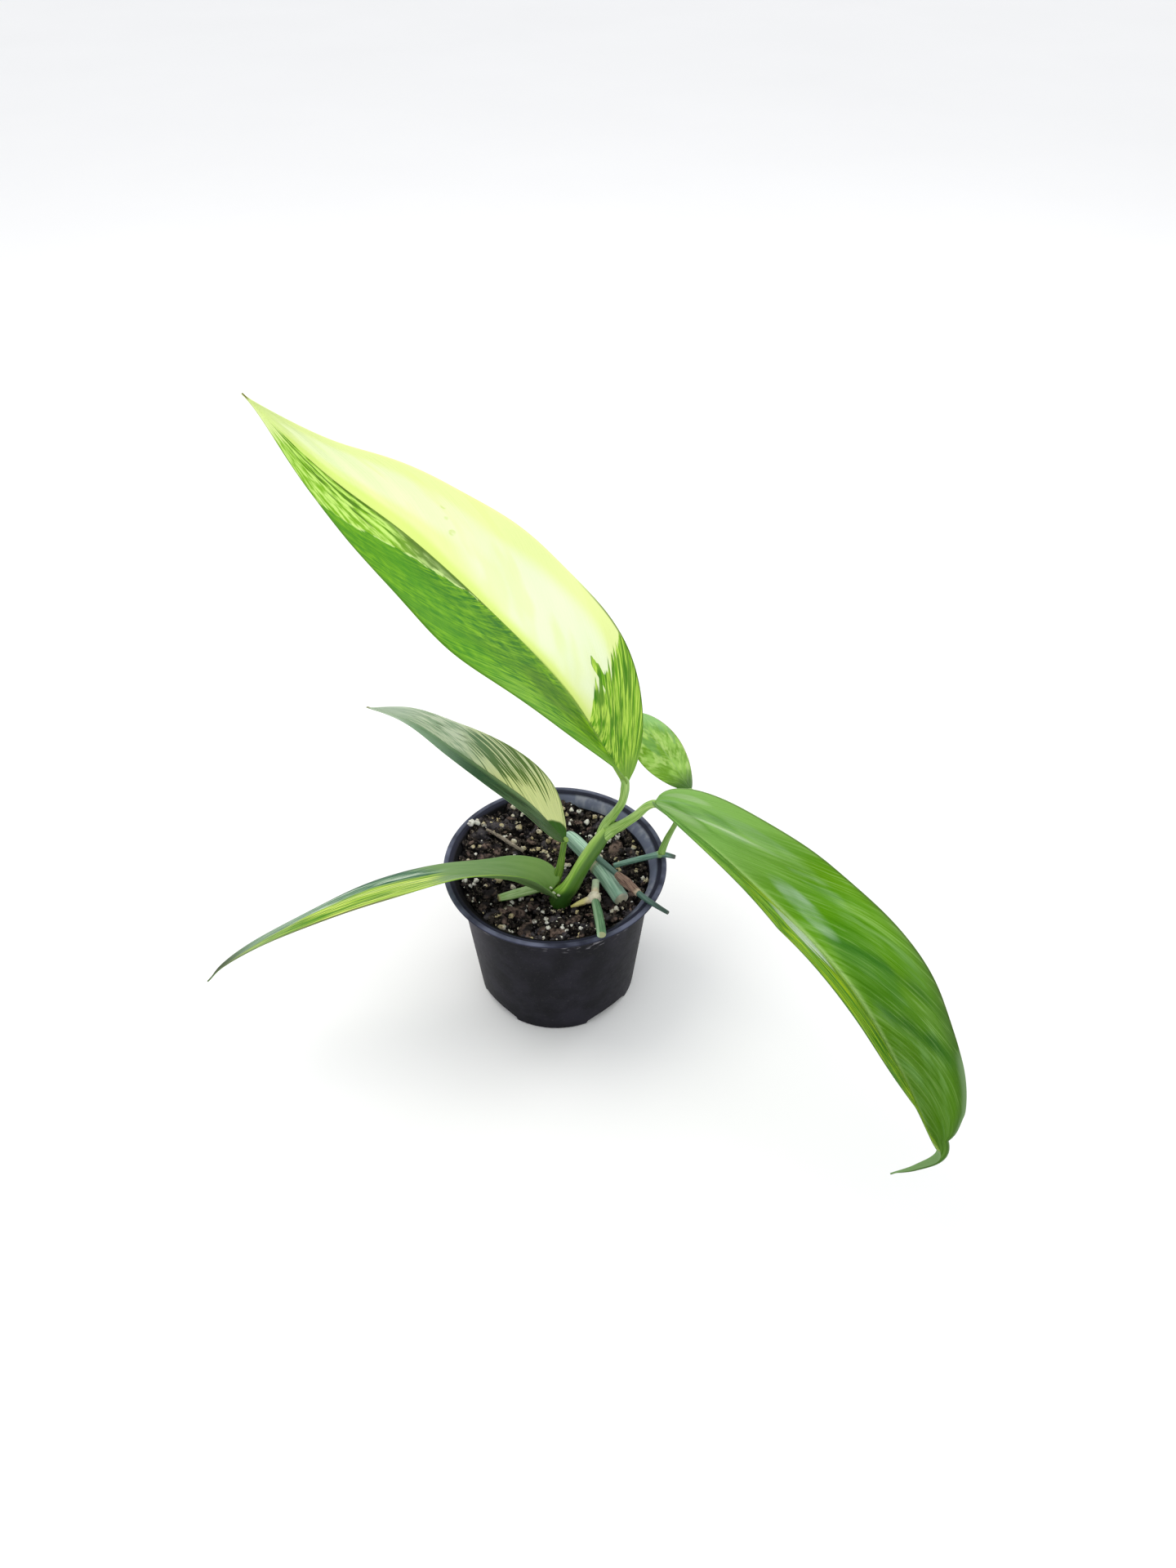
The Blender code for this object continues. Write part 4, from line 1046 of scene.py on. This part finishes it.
# The light lies in soft bluish white veils on the waxy swells.
veil = wax.left * (wax.near(0.350, 0.27, 0.100, 0.13) * 1.15 + wax.near(0.26, 0.66, 0.20, 0.14) * 0.45
                   + wax.near(0.10, 0.45, 0.12, 0.14) * 0.7)
green = wax.lay((116, 168, 54), [
    ((144, 192, 92), (fine * 0.5 + flow * 0.5).rises(0.38, 0.66)),
    ((104, 160, 36), soft.rises(0.52, 0.40) * wax.near(0.40, 0.55, 0.34, 0.55) * 0.6),
    # The pale base, with the light along its fold and painted highlights at its foot
    ((176, 222, 134), (t - 0.04 * (1 - u)).rises(0.34, 0.02) * 0.85),
    ((218, 240, 194), abs(u - 0.16 - 1.7 * t).rises(0.05, 0.0) * t.rises(0.26, 0.16) * wax.left * 0.85),
    ((98, 156, 56), wax.near(0.10, 0.42, 0.10, 0.26) * flow.rises(0.40, 0.55) * 0.55),
    ((206, 232, 178), (wax.near(0.02, 0.20, 0.12, 0.14) + wax.near(0.06, 0.74, 0.06, 0.10)) * wax.left
     * 0.55),
    # Duller towards the tip and along the left margin
    ((84, 122, 54), (t + 0.12 * u).rises(0.46, 0.86) * 0.62),
    ((132, 176, 100), (broad * 0.6 + flow * 0.4).rises(0.50, 0.62) * t.rises(0.25, 0.55) * 0.65),
    ((84, 112, 66), (t * 0.5 + u).rises(1.10, 1.32) * wax.left * 0.6),
    *troughs,
    ((76, 132, 20), wax.near(0.50, 0.34, 0.12, 0.30) * wax.left * 0.5),
    # The right half, darker and flecked with gold
    ((72, 122, 18), right * wax.run(8, 12, 5.0).rises(0.38, 0.54) * 0.85),
    ((188, 214, 66), gold * t.rises(0.1, 0.3) * 0.85),
    # The rib, the fine streaks and the edge
    ((196, 226, 150), (u - 0.02).rises(0.05, 0.0) * t.rises(1.0, 0.4) * 0.85),
    ((176, 214, 130), fine.rises(0.55, 0.65) * t.rises(0.10, 0.35) * t.rises(1.0, 0.7) * 0.22),
    ((64, 108, 24), fine.rises(0.45, 0.35) * t.rises(0.2, 0.5) * 0.2),
    ((84, 100, 62), u.rises(0.965, 0.99) * 0.6),
    # The veils of light, and the glint on the right half
    ((186, 214, 184), veil * (0.3 + 0.8 * (broad * 0.6 + flow * 0.4)).rises(0.58, 0.86) * 0.72),
    ((236, 246, 236), wax.near(0.385, 0.22, 0.10, 0.22) * right * wax.run(8, 24, 6.0).rises(0.36, 0.50)
     * 0.85),
    # The pale edge just above the tail
    ((128, 156, 112), (t - 0.12 * (1 - u)).rises(0.70, 0.74) * u.rises(0.86, 0.97) * wax.left)])
finish_piece(leaf, wax.skin(green, (132, 166, 110), 0.30), "leaf_mid_green", "leaf_b")

# The third leaf leans out low to the left on its short stalk. One half of its blade is cream with green
# streaks and turns grey towards the tip, the other is a dark bluish green.
leaf = blade("blade_c", plane_route((0.0050, -0.0066), 155, [
                 (0, 0.0982), (0.0165, 0.114), (0.0353, 0.124), (0.055, 0.133), (0.076, 0.1415),
                 (0.100, 0.142)]),
             half_width=0.0158, swell=0.57, taper=1.15, roll=(25, 5, -23, -13), fold_left=(-8, 40, 42),
             fold_right=(10, 46, 46), curl_left=15, curl_right=23, rows=130, columns=48,
             pleats=7, pleat_depth=0.00012)
wax = BladeFinish("leaf_c_skin", 0.46, 1.1)
t, u = wax.t, wax.u
fine, hair, broad = wax.streaks(60, 1.6), wax.streaks(150, 3.5, 3.0, 2), wax.streaks(20, 1.0, 2.0)
flow = wax.run(9, 8)
grey = wax.lay((166, 192, 162), [
    ((234, 242, 220), (fine * 0.5 + flow * 0.5).rises(0.43, 0.57)),
    ((92, 124, 94), wax.run(10, 11, 4.0).rises(0.42, 0.34) * 0.7)])
green = wax.lay((84, 118, 46), [((112, 146, 112), t.rises(0.30, 0.62))])
# How much more of the green streaks shows, from place to place
share = 0.07 * wax.near(0.38, 0.66, 0.26, 0.55) + 0.03 * t.rises(0.10, 0.30) - 0.08 * t.rises(0.48, 0.65)
cream = wax.lay((236, 240, 174), [
    ((214, 224, 158), (fine * 0.5 + hair * 0.5).rises(0.4, 0.65)),
    ((228, 237, 202), (t + 0.2 * u).rises(0.34, 0.50) * 0.6),
    (grey, (t + 0.10 * (broad - 0.5) - 0.10 * u).rises(0.40, 0.56) * 0.85),
    (green, (fine * 0.45 + hair * 0.15 + broad * 0.40 + share).rises(0.565, 0.595) * 0.9),
    ((72, 106, 36), (t - 0.016 - 0.095 * (1 - u)).rises(0.010, -0.004)),
    ((124, 146, 84), u.rises(0.93, 0.98) * t.rises(0.55, 0.4) * 0.7)])
deep = wax.lay((46, 72, 48), [
    ((84, 112, 82), (fine * 0.5 + flow * 0.5).rises(0.42, 0.62)),
    ((56, 88, 74), t.rises(0.20, 0.50) * 0.65),
    ((124, 150, 112), (u + 0.2 * (flow - 0.5)).rises(0.34, 0.06) * t.rises(0.08, 0.20) * 0.8),
    ((72, 98, 46), t.rises(0.16, 0.05)),
    ((150, 178, 154), (t + 0.15 * (fine - 0.5)).rises(0.42, 0.74) * 0.9)])
top = wax.lay(cream, [
    (deep, wax.left),
    # The rib, the pale tip and the brown point
    ((112, 134, 88), u.rises(0.04, 0.015) * t.rises(0.8, 0.5) * 0.6),
    ((206, 220, 202), t.rises(0.72, 0.88) * 0.8),
    ((176, 170, 150), t.rises(0.975, 0.99))])
finish_piece(leaf, wax.skin(top, (136, 160, 116)), "leaf_cream_striped", "leaf_c")

# The fourth leaf is long and narrow and arches out to the left over the rim, from a short stalk that is one
# with it. It is grey-green at its base, then streaked with lime on one half and blue-green on the other.
leaf = blade("blade_d", plane_route((-0.0038, -0.0139), 192, [
                 (-0.0011, 0.0703), (0.0070, 0.0776), (0.0184, 0.0856), (0.0408, 0.0919), (0.0696, 0.0905),
                 (0.0950, 0.0849), (0.1250, 0.0721), (0.1488, 0.0568), (0.1585, 0.0472)]),
             half_width=0.0146, swell=0.20, taper=1.12, roll=(-27, 102, -38, 28, 29, -20),
             fold_left=(56, -14, 26, -11, -47, 56), fold_right=(65, -52, 57, -26, -60, 57), curl_left=0,
             curl_right=0, rows=180, columns=40, pleats=14, pleat_depth=0.00006)
wax = BladeFinish("leaf_d_skin", 0.22, 1.0)
t, u = wax.t, wax.u
fine, flow = wax.streaks(70, 1.6), wax.run(9, 7)
long, thin = wax.run(4, 9, 3.0), wax.run(9, 20, 7.0)
wisp = long * 0.6 + thin * 0.4
# Each half has its own tones of wisps, drawn out along the rib. The whitish wisps on the blue-green
# half are painted highlights, and the brightest lime wisps are lime streaks with painted highlight in them.
lime = wax.lay((92, 142, 30), [
    ((166, 198, 80), wisp.rises(0.42, 0.56)),
    ((78, 126, 34), wax.run(5, 10, 9.0).rises(0.48, 0.40) * 0.75),
    ((226, 242, 124), wax.run(4, 12, 6.0).rises(0.54, 0.60) * 0.9)])
blue = wax.lay((56, 100, 76), [
    ((140, 172, 140), wisp.rises(0.42, 0.58)),
    ((70, 108, 84), wax.run(6, 14, 2.0).rises(0.48, 0.38) * 0.6),
    ((212, 228, 206), wax.run(6, 14, 5.0).rises(0.54, 0.61) * 0.8)])
# The plain grey-green of the base
plain = wax.lay((116, 150, 92), [
    ((124, 156, 98), flow.rises(0.4, 0.6)),
    ((150, 184, 106), t.rises(0.15, 0.04) * 0.5)])
edge = (t - 0.05 * fine).rises(0.26, 0.33)
lime = wax.lay(plain, [(lime, edge + (u - 0.86).rises(0.0, 0.05) * t.rises(0.04, 0.10))])
blue = wax.lay(plain, [(blue, (t - 0.10 * (u - 0.5) - 0.08 * flow).rises(0.24, 0.33))])
top = wax.lay(blue, [
    (lime, (wax.hand + 0.28 - 1.8 * t.above(0.5) + 0.9 * (wisp - 0.5)).rises(-0.04, 0.04)),
    # The two margins, the rib and the duller tip
    ((122, 120, 90), wax.hand.rises(0.88, 0.95) * t.rises(0.36, 0.46) * 0.85),
    ((72, 102, 84), (wax.hand * -1).rises(0.82, 0.95) * t.rises(0.30, 0.42) * 0.8),
    ((206, 226, 130), u.rises(0.10, 0.03) * t.rises(0.28, 0.36) * t.rises(0.62, 0.5) * 0.7),
    ((128, 152, 124), t.rises(0.62, 0.84) * 0.45),
    ((96, 102, 82), t.rises(0.80, 0.95) * 0.85)])
finish_piece(leaf, wax.skin(top, (120, 152, 96)), "leaf_grey_lime", "leaf_d")

# The small leaf stands behind on the thin stalk of the side runner. Its oval blade is green with yellow
# blotches and has a thin brown edge.
leaf = blade("blade_e", [
                 (0.0622, 0.0102, 0.1140), (0.0557, 0.0189, 0.1200), (0.0479, 0.0293, 0.1260),
                 (0.0402, 0.0397, 0.1306), (0.0363, 0.0449, 0.1316)],
             half_width=0.0140, swell=0.61, taper=0.81, roll=(29, -11), fold_left=(-3, -3),
             fold_right=(-3, -3), curl_left=-14, curl_right=-14, rows=64, columns=40, pleats=6,
             pleat_depth=0.00015)
wax = BladeFinish("leaf_e_skin", 0.30, 1.1)
t, u = wax.t, wax.u
fine, broad, soft = wax.streaks(26, 2.6), wax.streaks(9, 3.0, 2.0, 2), wax.streaks(5, 2.0, 5.0, 2)
cloud, patch = wax.run(5, 2.2), wax.run(9, 3.5, 4.0, 2)
top = wax.lay((112, 158, 52), [
    ((152, 196, 92), (cloud * 0.6 + fine * 0.4).rises(0.40, 0.60)),
    # Yellow blotches, with a cooler green between them
    ((180, 214, 120), (patch * 0.6 + broad * 0.4).rises(0.48, 0.60) * (t - 0.1 * wax.hand).rises(0.16, 0.34)
     * 0.85),
    ((112, 160, 92), soft.rises(0.46, 0.36) * t.rises(0.3, 0.5) * 0.6),
    # The dark base and the pale tip
    ((74, 108, 14), (t + 0.10 * (broad - 0.5)).rises(0.24, 0.05) * 0.95),
    ((150, 198, 128), (t - 0.15 * wax.hand).rises(0.66, 0.95) * 0.8),
    # The rib and the brown edge
    ((150, 186, 110), u.rises(0.05, 0.01) * 0.5),
    ((150, 110, 70), (wax.hand * -1).rises(0.955, 0.985) * 0.7)])
finish_piece(leaf, wax.skin(top, (140, 170, 104)), "leaf_mottled", "leaf_e")

# The stage is no part of the object: a wide pale floor, a pale sky, one broad soft light from above on the
# left and a window light from behind on the right.
floor = new_piece("floor", bpy.ops.mesh.primitive_plane_add, size=12)
sheet = Finish("pale_floor", 0.1)
floor.data.materials.append(sheet.paint(sheet.lay((244, 244, 244), [((248, 248, 248), sheet.grain(3))])))

sky = bpy.data.worlds.new("pale_sky")
sky.use_nodes = True
sky.node_tree.nodes["Background"].inputs["Color"].default_value = colour(252, 253, 255)
sky.node_tree.nodes["Background"].inputs["Strength"].default_value = 1.0
bpy.context.scene.world = sky


def soft_light(name, place, target, size, power, tint):
    """A square soft light that faces a target."""
    lamp = bpy.data.lights.new(name, "AREA")
    lamp.size = size
    lamp.energy = power
    lamp.color = colour(*tint)[:3]
    holder = bpy.data.objects.new(name, lamp)
    bpy.context.scene.collection.objects.link(holder)
    holder.location = place
    holder.rotation_euler = (Vector(target) - Vector(place)).to_track_quat("-Z", "Y").to_euler()


soft_light("overhead", (-0.45, 0.20, 1.2), (0, 0, 0.1), 0.7, 5, (255, 252, 244))
soft_light("window", (0.9, 0.7, 0.9), (0.1, -0.05, 0.08), 0.5, 2, (255, 255, 255))

# The camera looks down at the photograph's angle, from the place where the ellipses of the rim and the base
# come out as they are in it.
CAMERA_PLACE = (0.0155, -0.3821, 0.4683)
CAMERA_PITCH = math.radians(41.8)
SENSOR = 36
FOCAL_PIXELS = 1417
IMAGE_HEIGHT = 1920
eye = bpy.data.cameras.new("camera")
eye.sensor_width = SENSOR
eye.lens = FOCAL_PIXELS * SENSOR / IMAGE_HEIGHT
eye.clip_start = 0.01
camera = bpy.data.objects.new("camera", eye)
bpy.context.scene.collection.objects.link(camera)
camera.location = CAMERA_PLACE
camera.rotation_euler = (math.pi / 2 - CAMERA_PITCH, 0, 0)
bpy.context.scene.camera = camera
bpy.context.scene.view_settings.view_transform = "Standard"
